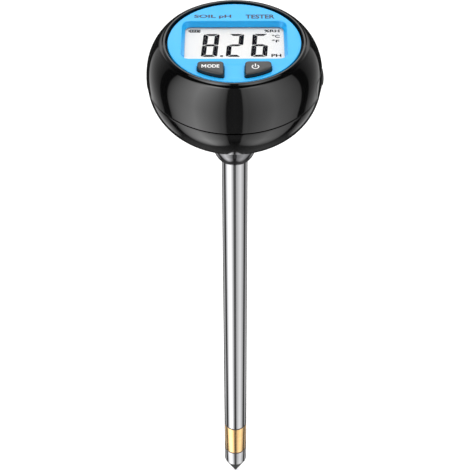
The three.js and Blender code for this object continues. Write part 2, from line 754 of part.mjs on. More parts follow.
// Leaf contacts: one presses on the top of the cell, one on its rim through the tray's back.
const leafTop = Z.bayCeiling - TOUCH_GAP / 2;
add(
  "battery_contact_top",
  joined([
    block(
      cellX - 6, -contactHalfWidth, leafTop - CONTACT_THICKNESS,
      cellX + 6, contactHalfWidth, leafTop,
    ),
    block(cellX - 1, -1, Z.trayTop + TOUCH_GAP, cellX + 1, 1, leafTop),
  ]),
  "contact_nickel",
);
add(
  "battery_contact_rear",
  joined([
    block(
      bayBack + TOUCH_GAP / 2, -contactHalfWidth, Z.cell + GAP,
      bayBack + TOUCH_GAP / 2 + CONTACT_THICKNESS / 2, contactHalfWidth, Z.trayTop - GAP,
    ),
    block(
      bayBack + TOUCH_GAP / 2, -1, Z.cell + 1, cellX - cellRadius - TOUCH_GAP, 1, Z.trayTop - 1,
    ),
  ]),
  "contact_nickel",
);

// ---- Probe ---------------------------------------------------------------------------------

function collar() {
  const top = TUBE_RADIUS + COLLAR_WALL;
  const foot = TUBE_RADIUS + COLLAR_FOOT;
  const steps = 8;
  const taper = Array.from({ length: steps + 1 }, (_, i) => {
    const fall = 1 - Math.sin((Math.PI / 2) * (i / steps));
    const out = (1 - fall ** COLLAR_FULLNESS) ** (1 / COLLAR_FULLNESS);
    return [foot + (top - foot) * out, Z.collar + COLLAR_TAPER * (1 - fall)];
  });
  return ring(
    [
      [TUBE_RADIUS + TOUCH_GAP, Z.collar],
      ...taper,
      [top, Z.neck - 0.5],
      [top - 0.4, Z.neck - TOUCH_GAP],
      [TUBE_RADIUS + TOUCH_GAP, Z.neck - TOUCH_GAP],
    ],
    MEDIUM,
  );
}
add("probe_collar", collar(), "dark_chrome");

const nutBottom = Z.nutSeat + 2 * TOUCH_GAP + WASHER_THICKNESS;
const tubeTop = nutBottom + NUT_HEIGHT + 3;
const tubeInner = TUBE_RADIUS - TUBE_WALL;
add("probe_tube", washer(tubeInner, TUBE_RADIUS, Z.tube, tubeTop, MEDIUM), "steel");
add(
  "probe_washer",
  washer(
    TUBE_RADIUS + TOUCH_GAP, neckRadius - 0.6,
    Z.nutSeat + TOUCH_GAP, Z.nutSeat + TOUCH_GAP + WASHER_THICKNESS, MEDIUM,
  ),
  "screw_zinc",
);
const nut = bar(TUBE_RADIUS + 3, nutBottom, nutBottom + NUT_HEIGHT, 0, 0, 6);
const nutBore = bar(TUBE_RADIUS + TOUCH_GAP, nutBottom - 1, nutBottom + NUT_HEIGHT + 1, 0, 0, MEDIUM);
add("probe_nut", nut.subtract(nutBore), "screw_zinc");
add(
  "probe_seal",
  solid(
    new THREE.TorusGeometry(sealRadius, SEAL_SECTION - TOUCH_GAP / 2, 8, MEDIUM)
      .translate(0, 0, sealHeight),
  ),
  "rubber_black",
);

const sleeveRadius = CORE_RADIUS + TOUCH_GAP;
const tubeRing = (low, high, inner = sleeveRadius) => washer(inner, TUBE_RADIUS, low, high, MEDIUM);
add("lower_insulator", tubeRing(Z.lowerInsulator, Z.band), "insulator");
add("electrode_band", tubeRing(Z.band, Z.upperInsulator), "electrode_gold");
add("upper_insulator", tubeRing(Z.upperInsulator, Z.tube), "insulator");

// The tip takes the core's lower end, with a well below it for the temperature sensor.
const coreFoot = TIP_LENGTH - 5.2;
const sensorFoot = CONE_LENGTH * 0.7;
const sensorRadius = Math.min(CORE_BORE, TUBE_RADIUS * 0.4);
function probeTip() {
  const outside = solid(
    turned(
      [
        [0, 0],
        [POINT_RADIUS, POINT_RADIUS / 3],
        [TUBE_RADIUS - 0.25, CONE_LENGTH - 0.45],
        [TUBE_RADIUS, CONE_LENGTH + 0.2],
        [TUBE_RADIUS, TIP_LENGTH],
        [0, TIP_LENGTH],
      ],
      MEDIUM,
    ),
  );
  return withoutAll(outside, [
    bar(sleeveRadius, coreFoot, TIP_LENGTH + 1, 0, 0, MEDIUM),
    bar(sensorRadius, sensorFoot, coreFoot + 1),
  ]);
}
add("probe_tip", probeTip(), "steel");
add(
  "temperature_sensor",
  bar(sensorRadius - TOUCH_GAP, sensorFoot + TOUCH_GAP, coreFoot - TOUCH_GAP),
  "chip_black",
);

const coreStep = Z.tube + GAP;
const coreTop = coreFoot + CORE_LENGTH;
add(
  "core_rod",
  ring(
    [
      [CORE_BORE, coreFoot + TOUCH_GAP],
      [CORE_RADIUS, coreFoot + TOUCH_GAP],
      [CORE_RADIUS, coreStep],
      [tubeInner - GAP, coreStep],
      [tubeInner - GAP, coreTop],
      [CORE_BORE, coreTop],
    ],
    MEDIUM,
  ),
  "white_plastic",
);

// ---- Probe lead, from the core through the tube to the board -------------------------------

const plugX = -6;
const socketUnder = Z.boardUnder - 4.6;
const plugUnder = socketUnder - 4;
add(
  "probe_socket",
  block(plugX - 4, -3, socketUnder, plugX + 4, 3, Z.boardUnder - TOUCH_GAP),
  "white_plastic",
);
add(
  "probe_plug",
  block(plugX - 3.5, -2.5, plugUnder, plugX + 3.5, 2.5, socketUnder - TOUCH_GAP),
  "white_plastic",
);

function probeLead() {
  const bendStart = tubeTop + 1;
  const path = new THREE.CatmullRomCurve3([
    new THREE.Vector3(0, 0, coreTop + 0.3),
    new THREE.Vector3(0, 0, (coreTop + bendStart) / 2),
    new THREE.Vector3(0, 0, bendStart - 4),
    new THREE.Vector3(0, 0, bendStart),
    new THREE.Vector3(plugX * 0.25, 0, bendStart + (plugUnder - bendStart) * 0.45),
    new THREE.Vector3(plugX, 0, plugUnder - 2.6),
    new THREE.Vector3(plugX, 0, plugUnder - 1.5),
    new THREE.Vector3(plugX, 0, plugUnder - 0.4),
  ]);
  const section = new THREE.Shape();
  section.absarc(0, 0, LEAD_RADIUS, 0, 2 * Math.PI);
  return new THREE.ExtrudeGeometry(section, { steps: 28, extrudePath: path, curveSegments: 4 });
}
add("probe_lead", probeLead(), "lead_grey");

export default meter;
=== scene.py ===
import math

import bmesh
import bpy
from mathutils import Euler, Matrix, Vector
from mathutils.geometry import tessellate_polygon


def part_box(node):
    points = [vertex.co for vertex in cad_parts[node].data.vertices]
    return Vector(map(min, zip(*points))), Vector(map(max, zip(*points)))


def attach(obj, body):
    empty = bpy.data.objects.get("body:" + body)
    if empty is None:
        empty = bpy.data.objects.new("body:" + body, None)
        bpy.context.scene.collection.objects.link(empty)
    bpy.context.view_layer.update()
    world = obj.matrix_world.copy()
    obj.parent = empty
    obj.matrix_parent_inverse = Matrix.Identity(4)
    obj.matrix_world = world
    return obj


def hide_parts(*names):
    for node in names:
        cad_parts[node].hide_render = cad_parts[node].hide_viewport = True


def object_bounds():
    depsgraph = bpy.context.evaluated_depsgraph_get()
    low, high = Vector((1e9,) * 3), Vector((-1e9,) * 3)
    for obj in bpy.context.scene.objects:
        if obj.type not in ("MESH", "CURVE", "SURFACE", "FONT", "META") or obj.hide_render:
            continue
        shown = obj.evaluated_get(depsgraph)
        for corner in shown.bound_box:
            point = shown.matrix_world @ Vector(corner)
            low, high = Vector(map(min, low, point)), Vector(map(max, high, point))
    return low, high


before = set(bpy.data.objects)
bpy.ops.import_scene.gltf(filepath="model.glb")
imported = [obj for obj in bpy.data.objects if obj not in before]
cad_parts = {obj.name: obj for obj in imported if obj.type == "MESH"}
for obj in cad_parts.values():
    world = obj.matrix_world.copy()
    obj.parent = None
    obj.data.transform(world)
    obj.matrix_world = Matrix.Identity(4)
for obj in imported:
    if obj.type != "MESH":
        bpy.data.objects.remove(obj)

MM = 0.001
cad_low, cad_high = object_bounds()

# ---- Camera ----
# A long lens looks down at the face from in front, so that the probe runs away below it.
camera_data = bpy.data.cameras.new("reader")
camera_data.sensor_width = 36
camera_data.lens = 106.66
camera_data.clip_start = 0.02
camera = bpy.data.objects.new("reader", camera_data)
camera.location = (0.04 * MM, -410.92 * MM, 541.77 * MM)
LOOK_DOWN = math.radians(43.28)
LEAN = math.radians(-0.16)
tilted = Euler((math.pi / 2 - LOOK_DOWN, 0, 0)).to_matrix() @ Euler((0, 0, LEAN)).to_matrix()
camera.rotation_euler = tilted.to_euler()
bpy.context.scene.collection.objects.link(camera)
bpy.context.scene.camera = camera

# ---- Studio ----
# Two tall soft boxes stand beside the reader, with two cards and a wide overhead box behind the
# meter. Polished pieces mirror them, and everything else is lit by an even dome.
bpy.context.scene.view_settings.view_transform = "Standard"
world = bpy.data.worlds.new("studio")
world.use_nodes = True
world.cycles.sampling_method = "NONE"
bpy.context.scene.world = world


class Reading:
    """A node's output, which sums and products can be made of as with a number."""

    def __init__(self, socket):
        self.socket = socket
        self.tree = socket.id_data

    def into(self, socket):
        """Links the reading to an input."""
        self.tree.links.new(self.socket, socket)

    def scaled(self, factor, offset, clamp=False):
        """The reading times a factor, plus an offset."""
        return worked_out("MULTIPLY_ADD", self, factor, offset, clamp=clamp)

    def __add__(self, other):
        return worked_out("ADD", self, other)

    def __sub__(self, other):
        return worked_out("SUBTRACT", self, other)

    def __rsub__(self, other):
        return worked_out("SUBTRACT", other, self)

    def __mul__(self, other):
        return worked_out("MULTIPLY", self, other)

    def __truediv__(self, other):
        return worked_out("DIVIDE", self, other)

    def __rtruediv__(self, other):
        return worked_out("DIVIDE", other, self)


def put(value, socket):
    """Gives an input a reading, a number or a colour."""
    if isinstance(value, Reading):
        value.into(socket)
    else:
        socket.default_value = (*value, 1) if isinstance(value, tuple) else value


def worked_out(operation, *values, clamp=False):
    """The reading of a Math node with these readings and numbers in it."""
    tree = next(value.tree for value in values if isinstance(value, Reading))
    node = tree.nodes.new("ShaderNodeMath")
    node.operation = operation
    node.use_clamp = clamp
    for socket, value in zip(node.inputs, values):
        put(value, socket)
    return Reading(node.outputs[0])


def mixed(factor, first, second):
    """A number that passes from the first to the second by a factor."""
    node = factor.tree.nodes.new("ShaderNodeMix")
    for label, value in (("Factor", factor), ("A", first), ("B", second)):
        put(value, node.inputs[label])
    return Reading(node.outputs["Result"])


def coordinates(tree, kind="Object"):
    """The place of what is being shaded."""
    return Reading(tree.nodes.new("ShaderNodeTexCoord").outputs[kind])


def parts_of(vector):
    """A vector's three numbers."""
    node = vector.tree.nodes.new("ShaderNodeSeparateXYZ")
    vector.into(node.inputs[0])
    return [Reading(socket) for socket in node.outputs]


def new_effect(name, inputs, outputs):
    """An empty node group with float inputs, given as name and value, and float outputs."""
    tree = bpy.data.node_groups.new(name, "ShaderNodeTree")
    for label, value in inputs.items():
        socket = tree.interface.new_socket(label, in_out="INPUT", socket_type="NodeSocketFloat")
        socket.default_value = value
    for label in outputs:
        tree.interface.new_socket(label, in_out="OUTPUT", socket_type="NodeSocketFloat")
    given = tree.nodes.new("NodeGroupInput").outputs
    return (
        tree, {label: Reading(given[label]) for label in inputs},
        tree.nodes.new("NodeGroupOutput").inputs,
    )


def placed(tree, effect, settings):
    """A copy of an effect in a tree, with its own values. Returns its readings."""
    node = tree.nodes.new("ShaderNodeGroup")
    node.node_tree = effect
    for label, value in settings.items():
        node.inputs[label].default_value = value
    return {socket.name: Reading(socket) for socket in node.outputs}


def soft_box_effect():
    """How bright one flat soft box is in each direction: brightest down its middle line."""
    settings = {
        "Facing": 0.0, "Half Width": 0.8, "Bottom": -1.0, "Bottom Fade": 0.14,
        "Top": 3.0, "Top Fade": 0.8, "Middle": 1.0, "Sides": 0.1, "Tilt": 0.0, "Rise": 0.0,
    }
    tree, given, out = new_effect("soft_box", settings, ["Light"])
    x, y, z = parts_of(coordinates(tree, "Generated"))
    sine = worked_out("SINE", given["Facing"])
    cosine = worked_out("COSINE", given["Facing"])
    depth = worked_out("MAXIMUM", x * sine - y * cosine, 0.001)
    across = (x * cosine + y * sine) / depth / given["Half Width"]
    share = worked_out("ABSOLUTE", across)
    height = z / depth
    soft_side, least_rise, most_rise = 0.06, 0.95, 1.7
    inside = worked_out("DIVIDE", 1.0 - share, soft_side, clamp=True)
    inside *= worked_out("DIVIDE", height - given["Bottom"], given["Bottom Fade"], clamp=True)
    inside *= worked_out("DIVIDE", given["Top"] - height, given["Top Fade"], clamp=True)
    inside *= across.scaled(given["Tilt"], 1.0)
    rise = height.scaled(given["Rise"], 1.0)
    inside *= worked_out("MINIMUM", worked_out("MAXIMUM", rise, least_rise), most_rise)
    ramp = worked_out("SUBTRACT", 1.0, share, clamp=True)
    (inside * mixed(ramp, given["Sides"], given["Middle"])).into(out["Light"])
    return tree


soft_box = soft_box_effect()
studio = world.node_tree
FRONT_BOX = {"Half Width": 0.86, "Bottom": -4.2, "Bottom Fade": 2.4, "Top": 4.2, "Rise": 0.3}
REAR_CARD = {
    "Half Width": 0.33, "Bottom": -1.7, "Bottom Fade": 0.4, "Top": 1.0, "Top Fade": 1.7,
    "Rise": 0.8,
}
BOXES = {
    -50: {**FRONT_BOX, "Middle": 3.5, "Sides": 0.3},
    50: {**FRONT_BOX, "Middle": 1.9, "Sides": 0.55, "Tilt": -0.15},
    0: {"Half Width": 0.3, "Bottom": -1.8, "Bottom Fade": 0.6, "Middle": 0.17, "Sides": 0.12},
    -122: {**REAR_CARD, "Middle": 0.7, "Sides": 0.7, "Tilt": -0.7},
    122: {**REAR_CARD, "Middle": 0.65, "Sides": 0.65, "Tilt": 0.7},
    180: {"Half Width": 0.9, "Bottom": 0.1, "Bottom Fade": 0.4, "Top": 6.0, "Top Fade": 3.0,
          "Middle": 2.5, "Sides": 1.2},
}
ROOM_GLOW = 0.03
mirrored = ROOM_GLOW
for facing, box in BOXES.items():
    lamp = placed(studio, soft_box, {"Facing": math.radians(facing), **box})
    mirrored = lamp["Light"] + mirrored
x, y, z = parts_of(coordinates(studio, "Generated"))
aside = worked_out("ABSOLUTE", x)
# White paper below the probe mirrors weakly, and least straight underneath and behind.
downward = z.scaled(-7.0, -5.7, clamp=True)
paper_light = worked_out("MULTIPLY", aside, 4.0, clamp=True).scaled(0.14, 0.05)
mirrored = downward.scaled(paper_light, mirrored)
dome_light = aside.scaled(-0.8, y.scaled(0.78, z.scaled(0.57, 1.17)))
dome_light = worked_out("MAXIMUM", dome_light, 0.05)
ray = studio.nodes.new("ShaderNodeLightPath").outputs
plain = mixed(Reading(ray["Is Glossy Ray"]), dome_light, mirrored)
seen = mixed(Reading(ray["Is Camera Ray"]), plain, 1.0)
background = studio.nodes["Background"].inputs
seen.into(background["Strength"])
background["Color"].default_value = (1, 1, 1, 1)

# The floor is a wide sheet of white paper under the point of the probe.
FLOOR_REACH = 3.0
floor_mesh = bpy.data.meshes.new("floor")
corners = [
    (x * FLOOR_REACH, y * FLOOR_REACH, cad_low.z) for x, y in ((-1, -1), (1, -1), (1, 1), (-1, 1))
]
floor_mesh.from_pydata(corners, [], [(0, 1, 2, 3)])
floor = bpy.data.objects.new("floor", floor_mesh)
bpy.context.scene.collection.objects.link(floor)
floor.visible_glossy = False


def new_finish(name, settings):
    """A material whose Principled shader has these plain socket values."""
    finish = bpy.data.materials.new(name)
    finish.use_nodes = True
    shader = finish.node_tree.nodes["Principled BSDF"].inputs
    for label, value in settings.items():
        put(value, shader[label])
    return finish, finish.node_tree, shader


paper = new_finish("white_paper", {
    "Base Color": (0.9, 0.9, 0.9), "Roughness": 0.9,
    "Emission Color": (1.0, 1.0, 1.0), "Emission Strength": 0.2,
})[0]
floor_mesh.materials.append(paper)

# ---- Probe tip ----
# The lowest piece is a solid stainless cone with a short cylinder behind it, turned on a lathe
# and polished. It is pressed and bonded into the lower insulator ring.
SIDES = 192


def eased(corners, closed=False, steps=6):
    """An outline whose corners are rounded: each corner is (across, up, radius)."""
    points = []
    count = len(corners)
    for i, (x, y, radius) in enumerate(corners):
        here = Vector((x, y))
        if not radius or (not closed and i in (0, count - 1)):
            points.append((x, y))
            continue
        back = Vector(corners[i - 1][:2]) - here
        ahead = Vector(corners[(i + 1) % count][:2]) - here
        half_angle = back.angle(ahead) / 2
        reach = min(radius / math.tan(half_angle), back.length * 0.49, ahead.length * 0.49)
        radius = reach * math.tan(half_angle)
        back.normalize()
        ahead.normalize()
        centre = here + (back + ahead).normalized() * (radius / math.sin(half_angle))
        first = here + back * reach - centre
        sweep = first.angle_signed(here + ahead * reach - centre)
        for step in range(steps + 1):
            angle = -sweep * step / steps
            c, s = math.cos(angle), math.sin(angle)
            points.append((
                centre.x + first.x * c - first.y * s, centre.y + first.x * s + first.y * c
            ))
    return points


def smoothed(piece, crease=35):
    """Smooth shading, except where faces meet at more than the crease."""
    piece.data.shade_smooth()
    piece.data.set_sharp_from_angle(angle=math.radians(crease))


def show(name, work, crease=35):
    """A new smooth object from a bmesh."""
    bmesh.ops.remove_doubles(work, verts=work.verts, dist=1e-7)
    bmesh.ops.recalc_face_normals(work, faces=work.faces)
    mesh = bpy.data.meshes.new(name)
    work.to_mesh(mesh)
    work.free()
    piece = bpy.data.objects.new(name, mesh)
    smoothed(piece, crease)
    bpy.context.scene.collection.objects.link(piece)
    return piece


def turned(name, profile, closed=True, sides=SIDES, centre=(0, 0)):
    """A lathe-turned piece from a profile of (radius, height) points."""
    work = bmesh.new()
    rings = []
    turns = [2 * math.pi * i / sides for i in range(sides)]
    for radius, height in profile:
        if radius < 1e-7:
            rings.append([work.verts.new((*centre, height))] * sides)
            continue
        rings.append([
            work.verts.new((
                centre[0] + radius * math.cos(turn), centre[1] + radius * math.sin(turn), height
            ))
            for turn in turns
        ])
    pairs = list(zip(rings, rings[1:])) + ([(rings[-1], rings[0])] if closed else [])
    for low, high in pairs:
        for i in range(sides):
            j = (i + 1) % sides
            corners = list(dict.fromkeys((low[i], low[j], high[j], high[i])))
            if len(corners) > 2:
                work.faces.new(corners)
    return show(name, work)


def spread(mask, low, high):
    """A mask from 0 to 1 brought to the range from low to high."""
    return mask.scaled(high - low, low)


def blended(mask, first, second):
    """A colour between two others by a mask. Either may be a colour or a reading."""
    node = mask.tree.nodes.new("ShaderNodeMix")
    node.data_type = "RGBA"
    mask.into(node.inputs["Factor"])
    put(first, node.inputs[6])
    put(second, node.inputs[7])
    return Reading(node.outputs[2])


def raised(height, distance):
    """A bumped normal from a height mask."""
    bump = height.tree.nodes.new("ShaderNodeBump")
    bump.inputs["Distance"].default_value = distance
    bump.inputs["Strength"].default_value = 1.0
    height.into(bump.inputs["Height"])
    return Reading(bump.outputs["Normal"])


def stretched(place, operation, amount):
    """A place scaled by a number, or multiplied by three."""
    node = place.tree.nodes.new("ShaderNodeVectorMath")
    node.operation = operation
    place.into(node.inputs[0])
    if operation == "SCALE":
        put(amount, node.inputs["Scale"])
    else:
        node.inputs[1].default_value = amount
    return Reading(node.outputs[0])


def noise_at(place, scale, detail=3.0, roughness=0.5):
    """A noise texture's value, from 0 to 1."""
    node = place.tree.nodes.new("ShaderNodeTexNoise")
    for label, value in (("Scale", 1.0), ("Detail", detail), ("Roughness", roughness)):
        node.inputs[label].default_value = value
    stretched(place, "SCALE", scale).into(node.inputs["Vector"])
    return Reading(node.outputs["Fac"])


def joined_up(*numbers):
    """A vector from three readings."""
    node = numbers[0].tree.nodes.new("ShaderNodeCombineXYZ")
    for socket, value in zip(node.inputs, numbers):
        value.into(socket)
    return Reading(node.outputs[0])


def polishing_lines_effect():
    """Fine lines left by polishing: round the probe, or along it, or some of each."""
    tree, given, out = new_effect(
        "polishing_lines", {"Lines Per Metre": 4000.0, "Along": 0.0}, ["Height", "Streaks"]
    )
    x, y, z = parts_of(coordinates(tree))
    arc = worked_out("ARCTAN2", y, x) * 0.005
    round_it = joined_up(worked_out("SQRT", x * x + y * y), arc * 0.02, z)
    along_it = joined_up(x, y, z * 0.01)
    fine = given["Lines Per Metre"]
    for label, lines in (("Height", fine), ("Streaks", fine * 0.11)):
        mixed(
            given["Along"], noise_at(round_it, lines), noise_at(along_it, lines)
        ).into(out[label])
    return tree


def handling_marks_effect():
    """Faint smudges from fingers, and hair scratches from use."""
    tree, given, out = new_effect(
        "handling_marks", {"Smudge Size": 0.012, "Scratch Size": 0.004}, ["Smudge", "Scratch"]
    )
    place = coordinates(tree)
    smudge = noise_at(place, 1.0 / given["Smudge Size"], 4, 0.62)
    smudge.scaled(3.0, -1.1, clamp=True).into(out["Smudge"])
    bent = stretched(place, "MULTIPLY", (1.0, 0.06, 0.35))
    hair = noise_at(bent, 1.0 / given["Scratch Size"], 6, 0.7)
    worked_out("ABSOLUTE", hair - 0.5).scaled(-90.0, 1.0, clamp=True).into(out["Scratch"])
    return tree


def edge_rub_effect():
    """Where edges and corners are rubbed first."""
    tree, given, out = new_effect("edge_rub", {"Reach": 0.06}, ["Rubbed"])
    sharp = Reading(tree.nodes.new("ShaderNodeNewGeometry").outputs["Pointiness"])
    over = worked_out("DIVIDE", sharp - 0.51, given["Reach"], clamp=True)
    patchy = noise_at(coordinates(tree), 900.0).scaled(1.6, -0.3, clamp=True)
    (over * patchy).into(out["Rubbed"])
    return tree


polishing_lines = polishing_lines_effect()
handling_marks = handling_marks_effect()
edge_rub = edge_rub_effect()


def polished_metal(name, colour, tint, roughness, lines, along, depth):
    """Bright metal: two close tones in streaks, with polishing lines and faint smudges."""
    finish, tree, shader = new_finish(name, {"Metallic": 1.0})
    grain = placed(tree, polishing_lines, {"Lines Per Metre": lines, "Along": along})
    marks = placed(tree, handling_marks, {"Smudge Size": 0.02, "Scratch Size": 0.006})
    rub = placed(tree, edge_rub, {"Reach": 0.08})
    tone = blended(grain["Streaks"], colour, tint)
    lighter = tuple(min(1.0, c * 1.25) for c in colour)
    blended(rub["Rubbed"], tone, lighter).into(shader["Base Color"])
    gloss = spread(grain["Streaks"], roughness * 0.8, roughness * 1.2)
    gloss += marks["Smudge"] * (roughness * 0.35)
    gloss += marks["Scratch"] * (roughness * 0.5)
    gloss.into(shader["Roughness"])
    raised(grain["Height"], depth).into(shader["Normal"])
    return finish


STEEL = (0.42, 0.42, 0.425)
STEEL_SHADE = (0.37, 0.37, 0.38)
turned_steel = polished_metal("turned_steel", STEEL, STEEL_SHADE, 0.07, 5200, 0.0, 0.0003 * MM)
tip_low, tip_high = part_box("probe_tip")
TUBE_RADIUS = tip_high.x
CONE_LENGTH = 10.0 * MM
CORE_RADIUS = 3.3 * MM
sensor_low, sensor_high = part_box("temperature_sensor")
sensor_foot = sensor_low.z - 0.1 * MM
sensor_radius = sensor_high.x + 0.1 * MM
core_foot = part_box("core_rod")[0].z - 0.1 * MM
tip_profile = eased([
    (0, tip_low.z, 0),
    (0.42 * MM, tip_low.z + 0.16 * MM, 0.35 * MM),
    (TUBE_RADIUS, tip_low.z + CONE_LENGTH, 1.1 * MM),
    (TUBE_RADIUS, tip_high.z, 0.12 * MM),
    (CORE_RADIUS, tip_high.z, 0.1 * MM),
    (CORE_RADIUS, core_foot, 0),
    (sensor_radius, core_foot, 0),
    (sensor_radius, sensor_foot, 0),
    (0, sensor_foot, 0),
])
tip = turned("probe_tip_turned", tip_profile, closed=False)
tip.data.materials.append(turned_steel)
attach(tip, "meter_body")
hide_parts("probe_tip")


# ---- Electrode band and its insulators ----
# A gold-coloured sleeve senses the soil. Two thin resin rings keep it apart from the steel.
def sleeve(name, node, inner, ease, finish):
    """A plain sleeve as wide as the probe, in the place of a CAD node."""
    low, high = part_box(node)
    corners = [
        (inner, low.z, 0), (TUBE_RADIUS, low.z, ease), (TUBE_RADIUS, high.z, ease),
        (inner, high.z, 0),
    ]
    piece = turned(name, eased(corners, closed=True))
    piece.data.materials.append(finish)
    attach(piece, "meter_body")
    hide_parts(node)
    return piece


gold = polished_metal(
    "electrode_gold", (0.74, 0.49, 0.23), (0.66, 0.41, 0.17), 0.16, 4200, 0.0, 0.0004 * MM
)
band = sleeve("electrode_band_turned", "electrode_band", CORE_RADIUS, 0.12 * MM, gold)


def cast_resin(name, colour, roughness):
    """Filled resin: dark, faintly mottled, and dull where it was cut flush."""
    finish, tree, shader = new_finish(name, {})
    smudge = placed(tree, handling_marks, {"Smudge Size": 0.003, "Scratch Size": 0.002})["Smudge"]
    blended(smudge, colour, tuple(c * 1.7 for c in colour)).into(shader["Base Color"])
    spread(smudge, roughness, roughness + 0.12).into(shader["Roughness"])
    raised(smudge, 0.01 * MM).into(shader["Normal"])
    return finish


resin = cast_resin("insulator_resin", (0.035, 0.022, 0.012), 0.38)
for node in ("lower_insulator", "upper_insulator"):
    ring = sleeve(node + "_ring", node, CORE_RADIUS, 0.05 * MM, resin)

# ---- Probe tube ----
# A drawn stainless tube, polished along its length, runs from the electrode up into the head.
TUBE_BORE = TUBE_RADIUS - 0.6 * MM
drawn_steel = polished_metal("drawn_steel", STEEL, STEEL_SHADE, 0.05, 3600, 1.0, 0.0003 * MM)
tube = sleeve("probe_tube_drawn", "probe_tube", TUBE_BORE, 0.15 * MM, drawn_steel)

# ---- Inside the probe ----
# A ceramic core carries the electrode, a small bead measures temperature, and one soft lead
# runs up the tube to a plug under the board. These pieces keep their plain shapes.


def moulded_skin_effect():
    """The fine skin of a moulded plastic piece, and the slow drift of its tone."""
    tree, given, out = new_effect("moulded_skin", {"Grain Size": 0.0003}, ["Skin", "Drift"])
    place = coordinates(tree)
    noise_at(place, 1.0 / given["Grain Size"], 2.0).into(out["Skin"])
    noise_at(place, 70.0, 2.0).into(out["Drift"])
    return tree


def settled_dust_effect():
    """A thin film of dust on what faces up."""
    tree, given, out = new_effect("settled_dust", {"Cover": 0.3}, ["Dust"])
    facing = Reading(tree.nodes.new("ShaderNodeNewGeometry").outputs["Normal"])
    upper = parts_of(facing)[2].scaled(1.4, -0.4, clamp=True)
    flecks = noise_at(coordinates(tree), 2600.0, 4.0, 0.7).scaled(5.0, -2.9, clamp=True)
    (flecks * upper * given["Cover"]).into(out["Dust"])
    return tree


moulded_skin = moulded_skin_effect()
settled_dust = settled_dust_effect()
DUST = (0.42, 0.40, 0.37)


def moulded_plastic(name, colour, drift, roughness, grain, depth, dust=0.1, rub=0.0):
    """Moulded plastic: a drifting tone, grain, faint smudges, dust on top and rubbed edges."""
    finish, tree, shader = new_finish(name, {})
    skin = placed(tree, moulded_skin, {"Grain Size": grain})
    marks = placed(tree, handling_marks, {"Smudge Size": 0.016, "Scratch Size": 0.005})
    film = placed(tree, settled_dust, {"Cover": dust})["Dust"]
    rubbed = placed(tree, edge_rub, {"Reach": 0.07})["Rubbed"]
    tone = blended(skin["Drift"], colour, drift)
    worn = tuple(min(1.0, c * 1.3 + 0.01) for c in colour)
    tone = blended(rubbed * rub, tone, worn)
    blended(film, tone, DUST).into(shader["Base Color"])
    gloss = spread(skin["Drift"], roughness * 0.9, roughness * 1.1)
    gloss += marks["Smudge"] * (roughness * 0.25)
    gloss += marks["Scratch"] * (roughness * 0.4)
    gloss += film * 0.5
    gloss.into(shader["Roughness"])
    raised(skin["Skin"], depth).into(shader["Normal"])
    return finish


def eased_edges(piece, width, segments=1):
    """Rounds a piece's sharp edges a little."""
    ease = piece.modifiers.new("eased_edges", "BEVEL")
    ease.width = width
    ease.segments = segments
    ease.limit_method = "ANGLE"
    ease.angle_limit = math.radians(40)


def refinished(finish, *nodes):
    """CAD nodes kept as they are, with their own finish and slightly eased edges."""
    for node in nodes:
        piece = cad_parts[node]
        piece.data.materials.clear()
        piece.data.materials.append(finish)
        eased_edges(piece, 0.06 * MM)


white_plastic = moulded_plastic(
    "white_plastic", (0.80, 0.79, 0.75), (0.74, 0.73, 0.69), 0.42, 0.0004, 0.004 * MM
)
black_resin = moulded_plastic(
    "black_resin", (0.02, 0.02, 0.021), (0.03, 0.03, 0.031), 0.5, 0.0002, 0.006 * MM
)
soft_jacket = moulded_plastic(
    "soft_jacket", (0.16, 0.17, 0.18), (0.2, 0.2, 0.21), 0.55, 0.0003, 0.004 * MM
)
refinished(white_plastic, "core_rod", "probe_plug", "probe_socket")
refinished(black_resin, "temperature_sensor")
refinished(soft_jacket, "probe_lead")

# ---- Collar ----
# A dark chromed dish, turned and plated, closes the joint between the probe and the head. Its
# flat foot is the stop for how deep the probe goes in.
collar_low, collar_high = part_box("probe_collar")
COLLAR_RADIUS = collar_high.x
COLLAR_FOOT = TUBE_RADIUS + 0.8 * MM
COLLAR_TAPER = 5.8 * MM
COLLAR_FULLNESS = 1.45
collar_profile = [
    (TUBE_RADIUS + 0.1 * MM, collar_low.z),
    (COLLAR_FOOT - 0.15 * MM, collar_low.z),
]
for i in range(41):
    fall = 1 - math.sin(math.pi / 2 * i / 40)
    out = (1 - fall ** COLLAR_FULLNESS) ** (1 / COLLAR_FULLNESS)
    collar_profile.append((
        COLLAR_FOOT + (COLLAR_RADIUS - COLLAR_FOOT) * out, collar_low.z + COLLAR_TAPER * (1 - fall)
    ))
collar_profile += eased([
    (COLLAR_RADIUS, collar_low.z + COLLAR_TAPER + 0.1 * MM, 0),
    (COLLAR_RADIUS, collar_high.z - 0.4 * MM, 0.2 * MM),
    (COLLAR_RADIUS - 0.4 * MM, collar_high.z, 0.15 * MM),
    (TUBE_RADIUS + 0.1 * MM, collar_high.z, 0),
])
dark_chrome = polished_metal(
    "dark_chrome", (0.17, 0.17, 0.175), (0.14, 0.14, 0.145), 0.06, 6000, 0.0, 0.0002 * MM
)
collar = turned("probe_collar_chromed", collar_profile)
collar.data.materials.append(dark_chrome)
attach(collar, "meter_body")
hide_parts("probe_collar")

